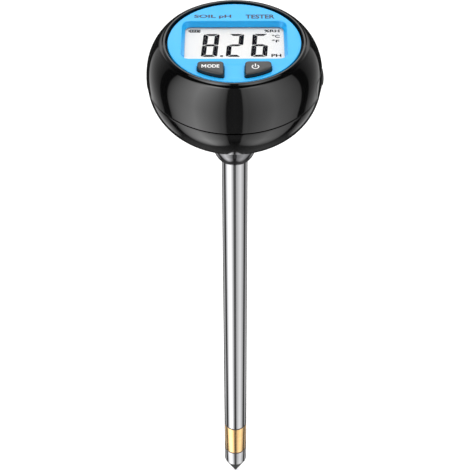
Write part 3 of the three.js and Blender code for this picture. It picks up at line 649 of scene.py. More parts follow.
# ---- Lower shell ----
# The bowl of the head is moulded in high-gloss black plastic with a neck for the probe. Three
# counterbored screw holes in its underside take the screws that hold the two halves together.
bowl_low, bowl_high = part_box("lower_shell")
dome_low, dome_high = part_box("upper_shell")
SEAM = dome_low.z
BOWL_RADIUS = -bowl_low.x
BOWL_DEPTH = 23.3 * MM
BOWL_FULLNESS = 2.17
NECK_RADIUS = TUBE_RADIUS + 4.1 * MM
NECK_FILLET = 1.2 * MM
WALL = 2.2 * MM
TONGUE = 0.95 * MM
SCREW_CIRCLE = 14.0 * MM
SCREW_ANGLES = (90, 210, 330)
DRAWER_HALF_WIDTH = 13.3 * MM
DRAWER_HEIGHT = 6.6 * MM
DRAWER_CHAMFER = 1.5 * MM
JUST_INSIDE = 0.99999


def bowl_height(radius, depth=BOWL_DEPTH, rim=BOWL_RADIUS):
    """The height of the bowl's surface at a distance from the axis."""
    return SEAM - depth * (1 - (radius / rim) ** BOWL_FULLNESS) ** (1 / BOWL_FULLNESS)


def bowl_curve(inner, depth, rim, steps):
    """Points from an inner radius out to the seam, close together where the bowl is steep."""
    turns = [math.pi / 2 * i / steps for i in range(steps + 1)]
    radii = [inner + (rim - inner) * math.sin(turn) for turn in turns]
    points = [(r, bowl_height(min(r, rim * JUST_INSIDE), depth, rim)) for r in radii[:-1]]
    return points + [(rim, SEAM)]


def finished_mesh(piece):
    """A mesh of the piece as its modifiers or its letters make it."""
    return bpy.data.meshes.new_from_object(
        piece.evaluated_get(bpy.context.evaluated_depsgraph_get())
    )


def machined(piece, tool, operation="DIFFERENCE"):
    """Cuts a tool's shape out of a piece, or joins it on, and removes the tool."""
    change = piece.modifiers.new("machined", "BOOLEAN")
    change.operation = operation
    change.object = tool
    change.solver = "EXACT"
    name = piece.data.name
    piece.data = finished_mesh(piece)
    piece.data.name = name
    piece.modifiers.clear()
    bpy.data.objects.remove(tool)


def round_tool(radius, low, high, x, y, sides=48):
    """A plain round bar used as a cutter or a post."""
    profile = [(0, low), (radius, low), (radius, high), (0, high)]
    return turned("tool", profile, closed=False, sides=sides, centre=(x, y))


def wall_between(work, rings):
    """Side faces joining rings of the same number of points."""
    for low, high in zip(rings, rings[1:]):
        for i in range(len(low)):
            j = (i + 1) % len(low)
            work.faces.new((low[i], low[j], high[j], high[i]))


def drawer_tool(inset, low):
    """The shape of the drawer's front run out sideways, as a cutter for the opening."""
    half = DRAWER_HALF_WIDTH - inset
    top = SEAM + DRAWER_HEIGHT - inset
    corners = eased([
        (-half, low, 0), (half, low, 0), (half, top - DRAWER_CHAMFER, 0.3 * MM),
        (half - DRAWER_CHAMFER, top, 0.3 * MM), (DRAWER_CHAMFER - half, top, 0.3 * MM),
        (-half, top - DRAWER_CHAMFER, 0.3 * MM),
    ], closed=True, steps=4)
    work = bmesh.new()
    near = [work.verts.new((0, y, z)) for y, z in corners]
    far = [work.verts.new((2 * BOWL_RADIUS, y, z)) for y, z in corners]
    work.faces.new(near)
    work.faces.new(far)
    wall_between(work, [near, far])
    return show("tool", work)


def truly_round(piece, surface_normal):
    """Gives the turned outer surface its exact normals, so that cuts leave no ripples in it.

    surface_normal takes a point and returns the outer surface's normal there, or None."""
    smoothed(piece)
    mesh = piece.data
    normals = [corner.vector.copy() for corner in mesh.corner_normals]
    limit = math.cos(math.radians(25))
    for face in mesh.polygons:
        for corner in face.loop_indices:
            exact = surface_normal(mesh.vertices[mesh.loops[corner].vertex_index].co)
            if exact is not None and exact.dot(face.normal) > limit:
                normals[corner] = exact
    mesh.normals_split_custom_set(normals)


SEAM_GROOVE = 0.7 * MM


def bowl_normal(point):
    """The bowl's exact normal at a point on its outer face."""
    radius = math.hypot(point.x, point.y)
    off_bowl = not NECK_RADIUS + NECK_FILLET < radius < BOWL_RADIUS + 1e-6
    if off_bowl or point.z > SEAM - SEAM_GROOVE - 0.2 * MM:
        return None
    if abs(point.z - bowl_height(min(radius, BOWL_RADIUS * JUST_INSIDE))) > 0.02 * MM:
        return None
    step = 0.001 * MM
    rise = (bowl_height(radius) - bowl_height(radius - step)) / step
    outward = Vector((point.x, point.y, 0)).normalized()
    return Vector((outward.x * rise, outward.y * rise, -1)).normalized()


BLACK = (0.0012, 0.0012, 0.0014)
BLACK_DRIFT = (0.002, 0.002, 0.0022)
gloss_black = moulded_plastic(
    "gloss_black", BLACK, BLACK_DRIFT, 0.045, 0.0022, 0.0008 * MM, dust=0.004, rub=0.3
)
neck_top = bowl_height(NECK_RADIUS + NECK_FILLET)
inner_rim = BOWL_RADIUS - WALL
bowl_profile = eased([
    (TUBE_RADIUS + 0.2 * MM, bowl_low.z, 0),
    (NECK_RADIUS, bowl_low.z, 0.7 * MM),
    (NECK_RADIUS, neck_top - 0.15 * MM, 0.9 * MM),
    (NECK_RADIUS + NECK_FILLET, neck_top, 0),
])
bowl_profile += [
    (radius, height)
    for radius, height in bowl_curve(NECK_RADIUS + NECK_FILLET, BOWL_DEPTH, BOWL_RADIUS, 56)[1:]
    if height < SEAM - SEAM_GROOVE - 0.3 * MM
]
bowl_profile += [
    (BOWL_RADIUS, SEAM - SEAM_GROOVE - 0.15 * MM),
    (BOWL_RADIUS - 0.05 * MM, SEAM - SEAM_GROOVE - 0.04 * MM),
    (BOWL_RADIUS - 0.15 * MM, SEAM - SEAM_GROOVE),
    (BOWL_RADIUS - 0.7 * MM, SEAM - SEAM_GROOVE),
    (BOWL_RADIUS - 0.7 * MM, SEAM),
    (inner_rim + TONGUE, SEAM),
    (inner_rim + TONGUE, bowl_high.z),
    (inner_rim, bowl_high.z),
]
bowl_profile += bowl_curve(NECK_RADIUS, BOWL_DEPTH - WALL, inner_rim, 20)[::-1]
seat = SEAM - BOWL_DEPTH + WALL
bowl_profile += [(NECK_RADIUS, seat), (TUBE_RADIUS + 0.2 * MM, seat)]
bowl = turned("lower_shell_moulded", bowl_profile)
screw_seat = bowl_height(SCREW_CIRCLE) + 5.0 * MM
post_top = SEAM - 11.5 * MM
screw_places = [
    (SCREW_CIRCLE * math.cos(math.radians(a)), SCREW_CIRCLE * math.sin(math.radians(a)))
    for a in SCREW_ANGLES
]
for x, y in screw_places:
    post = round_tool(2.8 * MM, bowl_height(SCREW_CIRCLE) + MM, post_top, x, y)
    machined(bowl, post, "UNION")
    machined(bowl, round_tool(1.9 * MM, bowl_low.z + 0.5 * MM, screw_seat, x, y))
    machined(bowl, round_tool(1.1 * MM, screw_seat - MM, post_top + MM, x, y))
machined(bowl, drawer_tool(-0.2 * MM, SEAM))
truly_round(bowl, bowl_normal)
bowl.data.materials.clear()
bowl.data.materials.append(gloss_black)
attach(bowl, "meter_body")
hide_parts("lower_shell")

# ---- Probe seal, washer and nut ----
# Inside the neck an O-ring keeps water out, and a washer and a hexagon nut clamp the probe.
black_rubber = moulded_plastic(
    "black_rubber", (0.014, 0.014, 0.014), (0.022, 0.022, 0.021), 0.68, 0.00035, 0.01 * MM
)
bright_plate = polished_metal(
    "bright_plate", (0.62, 0.62, 0.63), (0.54, 0.54, 0.56), 0.26, 3000, 0.0, 0.002 * MM
)
refinished(black_rubber, "probe_seal")
refinished(bright_plate, "probe_washer", "probe_nut")

# ---- Inner frame and battery bay ----
# A grey moulded frame spans the seam and carries the board on standoffs. The battery bay is a
# sleeve on top of it that guides the drawer.
grey_plastic = moulded_plastic(
    "grey_plastic", (0.055, 0.057, 0.06), (0.075, 0.077, 0.08), 0.5, 0.0005, 0.008 * MM
)
refinished(grey_plastic, "inner_frame", "battery_bay")

# ---- Battery drawer, coin cell and contacts ----
# The drawer is one gloss black moulding: a front that continues the dome's curve, with a finger
# ridge along its foot, and a tray for a coin cell behind it. Two sprung strips touch the cell.
DOME_RADIUS = -dome_low.x
DOME_FULLNESS = 2.56
FACE_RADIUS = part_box("face_plate")[1].x
HOLE_RADIUS = FACE_RADIUS + 0.85 * MM
RIM_RADIUS = HOLE_RADIUS + 1.35 * MM
DOME_RISE = dome_high.z - SEAM
dome_half_height = DOME_RISE / (1 - (RIM_RADIUS / DOME_RADIUS) ** DOME_FULLNESS) ** (
    1 / DOME_FULLNESS
)


def dome_radius(height, inset=0.0):
    """The dome's radius at a height, set in by a wall."""
    share = max(height - SEAM, 0) / dome_half_height
    return DOME_RADIUS * (1 - share ** DOME_FULLNESS) ** (1 / DOME_FULLNESS) - inset


def dome_normal(point):
    """The dome's exact normal at a point on its outer face."""
    radius = math.hypot(point.x, point.y)
    if abs(radius - dome_radius(point.z)) > 0.02 * MM or not SEAM + 0.1 * MM < point.z < RIM_TURN:
        return None
    step = 0.001 * MM
    slope = (dome_radius(point.z + step) - dome_radius(point.z)) / step
    outward = Vector((point.x, point.y, 0)).normalized()
    return Vector((outward.x, outward.y, -slope)).normalized()


RIM_TURN = SEAM + 16.0 * MM
SHUT_GAP = 0.15 * MM
tray_low, tray_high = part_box("battery_tray")
cell_low, cell_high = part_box("coin_cell")
cell_x = (cell_low.x + cell_high.x) / 2
cell_radius = (cell_high.x - cell_low.x) / 2
tray_half_width = cell_radius + 2.3 * MM
tray_floor = SEAM + 0.9 * MM
tray_top = cell_high.z + 0.1 * MM


def dome_core(inset, top, steps=24):
    """All of the dome below a height, inside its outer face by a wall."""
    heights = [SEAM + (top - SEAM) * i / steps for i in range(steps + 1)]
    points = [(0, SEAM)] + [(dome_radius(z, inset), z) for z in heights] + [(0, top)]
    return turned("core", points, closed=False, sides=2 * SIDES)


def block_tool(low, high):
    """A plain block between two corners."""
    work = bmesh.new()
    bmesh.ops.create_cube(work, size=1)
    for vertex in work.verts:
        vertex.co = [low[i] if vertex.co[i] < 0 else high[i] for i in range(3)]
    return show("tool", work)


above = SEAM + DRAWER_HEIGHT + MM
front = dome_core(0, above)
machined(front, dome_core(WALL, above + MM))
machined(front, drawer_tool(2 * SHUT_GAP, SEAM + SHUT_GAP), "INTERSECT")
eased_edges(front, 0.14 * MM, segments=3)
front.data = finished_mesh(front)
front.modifiers.clear()
tray = block_tool(
    (tray_low.x, -tray_half_width, tray_floor), (2 * DOME_RADIUS, tray_half_width, tray_top)
)
machined(tray, dome_core(WALL / 2, above), "INTERSECT")
machined(tray, round_tool(cell_radius + 0.2 * MM, cell_low.z, tray_top + MM, cell_x, 0, 96))
SLOT_HALF_WIDTH = 2.2 * MM
machined(tray, block_tool(
    (tray_low.x - MM, -SLOT_HALF_WIDTH, cell_low.z), (cell_x, SLOT_HALF_WIDTH, tray_top + MM)
))
RIDGE_HALF_WIDTH = 5.0 * MM
RIDGE_HEIGHT = 1.9 * MM
RIDGE_ROOT = 0.3 * MM
ridge_foot = SEAM + SHUT_GAP
ridge_steps = 24
ridge_work = bmesh.new()
ridge_rows = []
for i in range(ridge_steps + 1):
    y = RIDGE_HALF_WIDTH * (2 * i / ridge_steps - 1)
    end = min(1.0, (1 - abs(y) / RIDGE_HALF_WIDTH) * 6)
    proud = (tray_high.x - DOME_RADIUS) * math.sin(end * math.pi / 2)
    section = []
    for step in range(9):
        turn = math.pi * step / 8
        height = ridge_foot + RIDGE_HEIGHT * (1 - math.cos(turn)) / 2
        radius = dome_radius(height) - RIDGE_ROOT + (RIDGE_ROOT + proud) * math.sin(turn) ** 0.5
        x = math.sqrt(max(radius ** 2 - y ** 2, 0))
        section.append(ridge_work.verts.new((x, y, height)))
    ridge_rows.append(section)
for left, right in zip(ridge_rows, ridge_rows[1:]):
    for i in range(8):
        ridge_work.faces.new((left[i], right[i], right[i + 1], left[i + 1]))
    ridge_work.faces.new((left[8], right[8], right[0], left[0]))
ridge_work.faces.new(ridge_rows[0])
ridge_work.faces.new(ridge_rows[-1])
ridge = show("drawer_ridge", ridge_work, 60)
truly_round(front, dome_normal)
for name, piece in (("battery_drawer_front", front), ("battery_drawer_tray", tray)):
    piece.name = name
    piece.data.materials.clear()
    piece.data.materials.append(gloss_black)
smoothed(tray)
ridge.data.materials.append(gloss_black)
for piece in (front, tray, ridge):
    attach(piece, "battery_drawer")
    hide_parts("battery_tray")

cell_profile = eased([
    (0, cell_low.z, 0),
    (cell_radius - 1.3 * MM, cell_low.z, 0.25 * MM),
    (cell_radius - 1.1 * MM, cell_low.z + 0.35 * MM, 0.2 * MM),
    (cell_radius - 0.25 * MM, cell_low.z + 0.35 * MM, 0.1 * MM),
    (cell_radius, cell_low.z + 0.7 * MM, 0.3 * MM),
    (cell_radius, cell_high.z, 0.35 * MM),
    (0, cell_high.z, 0),
])
cell = turned("coin_cell_stamped", cell_profile, False, 96, (cell_x, 0))
cell.data.materials.append(bright_plate)
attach(cell, "battery_drawer")
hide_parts("coin_cell")
nickel = polished_metal(
    "nickel_strip", (0.64, 0.60, 0.52), (0.55, 0.52, 0.45), 0.22, 5000, 1.0, 0.001 * MM
)
refinished(nickel, "battery_contact_top", "battery_contact_rear")


# ---- Board, chips and switches ----
# A round green board carries the electronics. Two square tact switches stand on it under the
# keys, and the chips hang below.
def circuit_board():
    """Solder mask over copper: straight tracks and round pads show through as paler green."""
    finish, tree, shader = new_finish("circuit_board", {"Coat Weight": 0.3})
    place = coordinates(tree)
    tracks = tree.nodes.new("ShaderNodeTexBrick")
    for label, value in (
        ("Vector", place), ("Scale", 420), ("Mortar Size", 0.06),
        ("Color1", (0, 0, 0)), ("Color2", (0, 0, 0)), ("Mortar", (1, 1, 1)),
    ):
        put(value, tracks.inputs[label])
    pads = tree.nodes.new("ShaderNodeTexVoronoi")
    put(place, pads.inputs["Vector"])
    put(380, pads.inputs["Scale"])
    dots = worked_out("LESS_THAN", Reading(pads.outputs["Distance"]), 0.22)
    copper = worked_out("MAXIMUM", Reading(tracks.outputs["Color"]), dots)
    blended(copper, (0.012, 0.09, 0.035), (0.03, 0.19, 0.07)).into(shader["Base Color"])
    spread(copper, 0.45, 0.3).into(shader["Roughness"])
    raised(copper, 0.03 * MM).into(shader["Normal"])
    return finish


refinished(circuit_board(), "main_board")
refinished(black_resin, "controller_chip", "mode_switch", "power_switch")
refinished(bright_plate, "clock_crystal")
refinished(white_plastic, "mode_plunger", "power_plunger")

# ---- Display ----
# The display is a stack: backlight, rubber contact strips, a glass cell with printed segments
# and signs, and a clear lens on top. A white holder keeps it square on the board.
refinished(white_plastic, "lcd_holder", "lcd_backlight")
refinished(black_rubber, "contact_strip_front", "contact_strip_rear")


def display_film():
    """The cell's front polariser: off-white, faintly warm, lit softly from behind."""
    settings = {"Emission Strength": 0.1, "Specular IOR Level": 0.0}
    finish, tree, shader = new_finish("display_film", settings)
    skin = placed(tree, moulded_skin, {"Grain Size": 0.0002})
    tone = blended(skin["Drift"], (0.77, 0.76, 0.745), (0.74, 0.73, 0.715))
    tone.into(shader["Base Color"])
    tone.into(shader["Emission Color"])
    spread(skin["Skin"], 0.4, 0.5).into(shader["Roughness"])
    raised(skin["Skin"], 0.0006 * MM).into(shader["Normal"])
    return finish


refinished(display_film(), "lcd_cell")
cell_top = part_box("lcd_cell")[1].z
PRINT_THICKNESS = 0.02 * MM


def liquid_crystal():
    """A dark segment: almost black, with a trace of the violet of a polariser."""
    finish, tree, shader = new_finish("segment_black", {"Specular IOR Level": 0.0})
    skin = placed(tree, moulded_skin, {"Grain Size": 0.0004})
    tone = blended(skin["Drift"], (0.006, 0.006, 0.008), (0.01, 0.009, 0.012))
    tone.into(shader["Base Color"])
    spread(skin["Skin"], 0.35, 0.45).into(shader["Roughness"])
    return finish


def ring_of(work, outline, height):
    """The outline's points as vertices at a height."""
    return [work.verts.new((x, y, height)) for x, y in outline]


def flat_shapes(name, outlines, low):
    """Thin printed shapes, one for each closed outline of (x, y) points."""
    work = bmesh.new()
    for outline in outlines:
        bottom = ring_of(work, outline, low)
        top = ring_of(work, outline, low + PRINT_THICKNESS)
        work.faces.new(bottom)
        work.faces.new(top)
        wall_between(work, [bottom, top])
    return show(name, work, 30)


def bar_outline(x0, y0, x1, y1):
    """A plain rectangle between two corners."""
    return [(x0, y0), (x1, y0), (x1, y1), (x0, y1)]


DIGIT_WIDTH = 5.85 * MM
DIGIT_HEIGHT = 14.0 * MM
DIGIT_PITCH = 8.93 * MM
DIGITS_LEFT = -12.05 * MM
DIGITS_FOOT = -5.45 * MM
SLANT = 0.065
UPRIGHT = 1.75 * MM
LEVEL = 1.2 * MM
PART = 0.11 * MM
SEGMENTS_OF = {"8": "abcdefg", "2": "abdeg", "6": "acdefg"}


def segment_outlines(letters, x0, y0):
    """The outlines of one slanted seven-segment digit's dark segments."""
    w, h, u, v, p = DIGIT_WIDTH, DIGIT_HEIGHT, UPRIGHT, LEVEL, PART
    middle = h / 2
    corner = 0.55 * MM
    shapes = {
        "a": [(corner + p, h), (w - corner - p, h), (w - u - p, h - v), (u + p, h - v)],
        "d": [(corner + p, 0), (w - corner - p, 0), (w - u - p, v), (u + p, v)],
        "g": [(corner + p, middle), (u + p, middle + v / 2), (w - u - p, middle + v / 2),
              (w - corner - p, middle), (w - u - p, middle - v / 2), (u + p, middle - v / 2)],
        "f": [(0, h - corner - p), (0, middle + corner), (corner * 0.7, middle + p),
              (u, middle + v / 2 + p), (u, h - v - p), (corner * 0.7, h - p * 2)],
        "e": [(0, corner + p), (0, middle - corner), (corner * 0.7, middle - p),
              (u, middle - v / 2 - p), (u, v + p), (corner * 0.7, p * 2)],
    }
    shapes["b"] = [(w - x, y) for x, y in shapes["f"]]
    shapes["c"] = [(w - x, y) for x, y in shapes["e"]]
    return [
        [(x0 + x + SLANT * y, y0 + y) for x, y in shapes[letter]] for letter in letters
    ]


segment_black = liquid_crystal()
outlines = []
for place, digit in enumerate("826"):
    outlines += segment_outlines(
        SEGMENTS_OF[digit], DIGITS_LEFT + place * DIGIT_PITCH, DIGITS_FOOT
    )
DOT = 0.95 * MM
dot_x = DIGITS_LEFT + DIGIT_WIDTH + 1.15 * MM
outlines.append(bar_outline(dot_x, DIGITS_FOOT, dot_x + DOT, DIGITS_FOOT + DOT))
# The battery sign: a box with a cap, and three bars of charge in it.
SIGN_X, SIGN_Y = -16.7 * MM, 9.5 * MM
SIGN_WIDE, SIGN_TALL = 4.3 * MM, 1.9 * MM
LINE = 0.36 * MM
box_x = SIGN_X + 0.5 * MM
right_x, top_y = SIGN_X + SIGN_WIDE, SIGN_Y + SIGN_TALL
outlines += [
    bar_outline(box_x, SIGN_Y, right_x, SIGN_Y + LINE),
    bar_outline(box_x, top_y - LINE, right_x, top_y),
    bar_outline(right_x - LINE, SIGN_Y + LINE, right_x, top_y - LINE),
    bar_outline(box_x, SIGN_Y + LINE, box_x + LINE, top_y - LINE),
    bar_outline(SIGN_X, SIGN_Y + 0.4 * MM, SIGN_X + 0.42 * MM, top_y - 0.4 * MM),
]
for i in range(3):
    bar_x = SIGN_X + 1.08 * MM + i * 0.98 * MM
    outlines.append(bar_outline(bar_x, SIGN_Y + 0.5 * MM, bar_x + 0.78 * MM, top_y - 0.5 * MM))
segments = flat_shapes("display_segments", outlines, cell_top)
segments.data.materials.append(segment_black)
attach(segments, "meter_body")


def lettering(name, words, finish, body, heavy):
    """Printed words as one thin mesh. Each is (text, left, foot, height, width, surface)."""
    work = bmesh.new()
    for text, left, foot, tall, wide, surface in words:
        curve = bpy.data.curves.new(name, "FONT")
        curve.body = text
        curve.size = 1.0
        curve.offset = heavy
        curve.extrude = 0.5
        source = bpy.data.objects.new(name, curve)
        bpy.context.scene.collection.objects.link(source)
        bpy.context.view_layer.update()
        mesh = finished_mesh(source)
        bpy.data.objects.remove(source)
        across = [v.co.x for v in mesh.vertices]
        up = [v.co.y for v in mesh.vertices]
        for vertex in mesh.vertices:
            x, y, z = vertex.co
            vertex.co = (
                left + (x - min(across)) / (max(across) - min(across)) * wide,
                foot + (y - min(up)) / (max(up) - min(up)) * tall,
                surface + (z + 0.5) * PRINT_THICKNESS,
            )
        work.from_mesh(mesh)
    piece = show(name, work, 30)
    piece.data.materials.clear()
    piece.data.materials.append(finish)
    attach(piece, body)


signs = [
    ("%RH", 10.9 * MM, 9.6 * MM, 1.6 * MM, 5.6 * MM, cell_top),
    ("°C", 13.7 * MM, 6.2 * MM, 1.8 * MM, 2.8 * MM, cell_top),
    ("°F", 13.6 * MM, 3.2 * MM, 1.75 * MM, 2.7 * MM, cell_top),
    ("PH", 13.2 * MM, -5.6 * MM, 1.8 * MM, 3.6 * MM, cell_top),
]
lettering("display_signs", signs, segment_black, "meter_body", 0.03)


def clear_lens():
    """Anti-glare acrylic: nearly invisible, with the faintest smudges."""
    finish, tree, shader = new_finish(
        "clear_lens", {"Transmission Weight": 1.0, "IOR": 1.18, "Alpha": 0.06}
    )
    marks = placed(tree, handling_marks, {"Smudge Size": 0.01, "Scratch Size": 0.004})
    blended(marks["Smudge"], (1.0, 1.0, 1.0), (0.97, 0.98, 0.98)).into(shader["Base Color"])
    spread(marks["Smudge"], 0.01, 0.03).into(shader["Roughness"])
    return finish


lens_low, lens_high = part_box("display_lens")


def lens_outline(grow, radius):
    """The lens's outline, grown by a margin."""
    middle = (lens_low.y + lens_high.y) / 2
    half = (lens_high.y - lens_low.y) / 2 + grow
    side = lens_high.x + grow
    corners = [(side, -half), (side, half), (-side, half), (-side, -half)]
    return eased([(x, middle + y, radius) for x, y in corners], closed=True)


lens_work = bmesh.new()
lens_rings = [
    ring_of(lens_work, lens_outline(grow * MM, 1.8 * MM), height)
    for grow, height in (
        (-0.05, lens_low.z), (0, lens_low.z + 0.05 * MM),
        (0, lens_high.z - 0.05 * MM), (-0.05, lens_high.z),
    )
]
wall_between(lens_work, lens_rings)
lens_work.faces.new(lens_rings[0])
lens_work.faces.new(lens_rings[-1])
lens = show("display_lens_cut", lens_work, 20)
lens.data.materials.append(clear_lens())
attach(lens, "meter_body")
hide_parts("display_lens")

# ---- Face plate ----
# The light-blue face is moulded with a recessed window, whose walls lean in to the lens, and a
# hole for each key. A dark rubber gasket seats it in the dome's rim.
face_low, face_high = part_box("face_plate")
gasket_low, gasket_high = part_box("face_gasket")
FACE = face_high.z
FACE_UNDER = gasket_high.z
WINDOW = {"side": 19.0 * MM, "front": -10.1 * MM, "back": 12.9 * MM, "corner": 3.0 * MM}
SIDE_DRAFT = 1.1 * MM
END_DRAFT = 1.0 * MM
KEY = {"inner": 3.75 * MM, "outer": 13.0 * MM, "back": -13.7 * MM, "arc": 21.9 * MM}
KEY_CORNER = 1.3 * MM
KEY_SIDES = {"mode": -1, "power": 1}


def window_outline(share, grow=0.0):
    """The window's outline: share is 0 at the face and 1 at the lens."""
    side = WINDOW["side"] - SIDE_DRAFT * share + grow
    front = WINDOW["front"] + END_DRAFT * share - grow
    back = WINDOW["back"] - END_DRAFT * share + grow
    radius = WINDOW["corner"] - 0.8 * MM * share + grow
    corners = [(side, front), (side, back), (-side, back), (-side, front)]
    return eased([(x, y, radius) for x, y in corners], closed=True, steps=8)


def key_outline(side, grow):
    """A key's outline, straight at the back and sides, with its front edge round the face."""
    inner, outer = KEY["inner"] - grow, KEY["outer"] + grow
    back, arc = KEY["back"] + grow, KEY["arc"] + grow
    corners = [(inner, back), (outer, back)]
    spans = 6
    for i in range(spans + 1):
        x = outer + (inner - outer) * i / spans
        corners.append((x, -math.sqrt(arc ** 2 - x ** 2)))
    rounded = {0, 1, 2, len(corners) - 1}
    radius = KEY_CORNER + grow
    ends = [(side * x, y, radius if i in rounded else 0) for i, (x, y) in enumerate(corners)]
    if side < 0:
        ends.reverse()
    return eased(ends, closed=True, steps=5)


def circle_outline(radius):
    """A full circle about the axis."""
    turns = [2 * math.pi * i / SIDES for i in range(SIDES)]
    return [(radius * math.cos(t), radius * math.sin(t)) for t in turns]


def flat_between(work, outer, holes):
    """Flat faces inside one ring of vertices and outside the rings of its holes."""
    loops = [[v.co for v in ring] for ring in [outer, *holes]]
    vertices = [v for ring in [outer, *holes] for v in ring]
    for triangle in tessellate_polygon(loops):
        work.faces.new([vertices[i] for i in triangle])


def round_over(outline_at, height, radius, steps=4):
    """Rings that turn from a flat face down into a wall. outline_at takes how far out it is."""
    rings = []
    for step in range(steps + 1):
        turn = math.pi / 2 * step / steps
        rings.append(
            (outline_at(radius * (1 - math.sin(turn))), height - radius * (1 - math.cos(turn)))
        )
    return rings


face_work = bmesh.new()
EDGE = 0.3 * MM
HOLE_EDGE = 0.18 * MM
KEY_GAP = 0.2 * MM
outer_rings = []
for turn in [math.pi / 2 * i / 5 for i in range(6)]:
    outline = circle_outline(FACE_RADIUS - EDGE + EDGE * math.sin(turn))
    outer_rings.append(ring_of(face_work, outline, FACE - EDGE + EDGE * math.cos(turn)))
outer_rings.append(ring_of(face_work, circle_outline(FACE_RADIUS), FACE_UNDER))
wall_between(face_work, outer_rings)
window_rings = [
    ring_of(face_work, outline, height)
    for outline, height in round_over(lambda grow: window_outline(0.08, grow), FACE, EDGE)
]
for share in (0.35, 0.7, 1.0):
    window_rings.append(
        ring_of(face_work, window_outline(share), FACE - (FACE - FACE_UNDER) * share)
    )
wall_between(face_work, window_rings)
top_holes, under_holes = [window_rings[0]], [window_rings[-1]]
for side in KEY_SIDES.values():
    rings = [
        ring_of(face_work, outline, height)
        for outline, height in round_over(
            lambda grow: key_outline(side, KEY_GAP + grow), FACE, HOLE_EDGE, 3
        )
    ]
    rings.append(ring_of(face_work, key_outline(side, KEY_GAP), FACE_UNDER))
    wall_between(face_work, rings)
    top_holes.append(rings[0])
    under_holes.append(rings[-1])
flat_between(face_work, outer_rings[0], top_holes)
flat_between(face_work, outer_rings[-1], under_holes)
face = show("face_plate_moulded", face_work, 30)
BLUE = (0.012, 0.45, 0.95)
BLUE_DRIFT = (0.014, 0.465, 0.97)
face_blue = moulded_plastic(
    "face_blue", BLUE, BLUE_DRIFT, 0.32, 0.00025, 0.0015 * MM, dust=0.02, rub=0.1
)
face.data.materials.append(face_blue)
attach(face, "meter_body")
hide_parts("face_plate")

# The window's frame, under the face, holds the lens at its edges.
frame_work = bmesh.new()
frame_top = FACE_UNDER - 0.02 * MM
frame_rings = [
    ring_of(frame_work, lens_outline(grow * MM, radius * MM), height)
    for grow, radius, height in (
        (0.1, 1.9, frame_top), (0.1, 1.9, face_low.z),
        (1.2, 3.0, face_low.z), (1.2, 3.0, frame_top),
    )
]
wall_between(frame_work, frame_rings + [frame_rings[0]])
window_frame = show("face_plate_window_frame", frame_work, 30)
window_frame.data.materials.append(face_blue)
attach(window_frame, "meter_body")
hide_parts("face_plate")

gasket_profile = eased([
    (FACE_RADIUS - 1.0 * MM, gasket_low.z, 0),
    (HOLE_RADIUS - 0.1 * MM, gasket_low.z, 0.1 * MM),
    (HOLE_RADIUS - 0.1 * MM, gasket_high.z, 0.15 * MM),
    (FACE_RADIUS - 1.0 * MM, gasket_high.z, 0),
], closed=True)
gasket = turned("face_gasket_moulded", gasket_profile)
gasket.data.materials.append(black_rubber)
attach(gasket, "meter_body")
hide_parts("face_gasket")


def screen_print(name, colour, drift):
    """Screen-printed ink: flat colour with a slightly uneven sheen."""
    finish, tree, shader = new_finish(name, {})
    skin = placed(tree, moulded_skin, {"Grain Size": 0.00015})
    blended(skin["Drift"], colour, drift).into(shader["Base Color"])
    spread(skin["Skin"], 0.35, 0.55).into(shader["Roughness"])
    raised(skin["Skin"], 0.001 * MM).into(shader["Normal"])
    return finish


black_ink = screen_print("black_ink", (0.012, 0.02, 0.03), (0.018, 0.03, 0.04))
white_ink = screen_print("white_ink", (0.86, 0.86, 0.85), (0.80, 0.80, 0.79))
face_words = [
    ("SOIL pH", -14.7 * MM, 14.4 * MM, 2.6 * MM, 13.6 * MM, FACE),
    ("TESTER", 4.1 * MM, 14.4 * MM, 2.6 * MM, 10.7 * MM, FACE),
]
lettering("face_lettering", face_words, black_ink, "meter_body", 0.032)

# ---- Keys ----
# Two charcoal rubber-touch keys stand proud of the face. Each has a flange under the face that
# stops it from coming out, and a stem that presses its switch. Their signs are printed white.
key_charcoal = moulded_plastic(
    "key_charcoal", (0.008, 0.009, 0.010), (0.012, 0.013, 0.014), 0.3, 0.0003, 0.002 * MM,
    dust=0.03, rub=0.5,
)
KEY_EDGE = 0.42 * MM
KEY_CROWN = 0.12 * MM
FLANGE = 0.6 * MM
FLANGE_THICKNESS = 0.9 * MM
FLANGE_TOP = FACE_UNDER - 0.1 * MM


def shrunk(outline, distance):
    """An outline drawn in towards its middle, by a distance at its widest."""
    middle = sum((Vector(p) for p in outline), Vector((0, 0))) / len(outline)
    reach = max((Vector(p) - middle).length for p in outline)
    return [tuple(middle + (Vector(p) - middle) * (1 - distance / reach)) for p in outline]


def key_piece(name, side):
    """One key: flange, straight sides, a rounded top edge and a slightly crowned top."""
    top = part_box(name + "_button")[1].z - PRINT_THICKNESS
    work = bmesh.new()
    rings = [
        ring_of(work, key_outline(side, FLANGE), FLANGE_TOP - FLANGE_THICKNESS),
        ring_of(work, key_outline(side, FLANGE), FLANGE_TOP),
        ring_of(work, key_outline(side, 0), FLANGE_TOP),
    ]
    for turn in [math.pi / 2 * i / 6 for i in range(7)]:
        inset = KEY_EDGE * (1 - math.cos(turn))
        height = top - KEY_CROWN - KEY_EDGE * (1 - math.sin(turn))
        rings.append(ring_of(work, key_outline(side, -inset), height))
    for share in (0.25, 0.5, 0.8):
        inset = KEY_EDGE + share * 1.6 * MM
        height = top - KEY_CROWN * (1 - share) ** 2
        rings.append(ring_of(work, shrunk(key_outline(side, -KEY_EDGE), inset - KEY_EDGE), height))
    wall_between(work, rings)
    flat_between(work, rings[-1], [])
    flat_between(work, rings[0], [])
    return show(name + "_key_moulded", work, 40), top


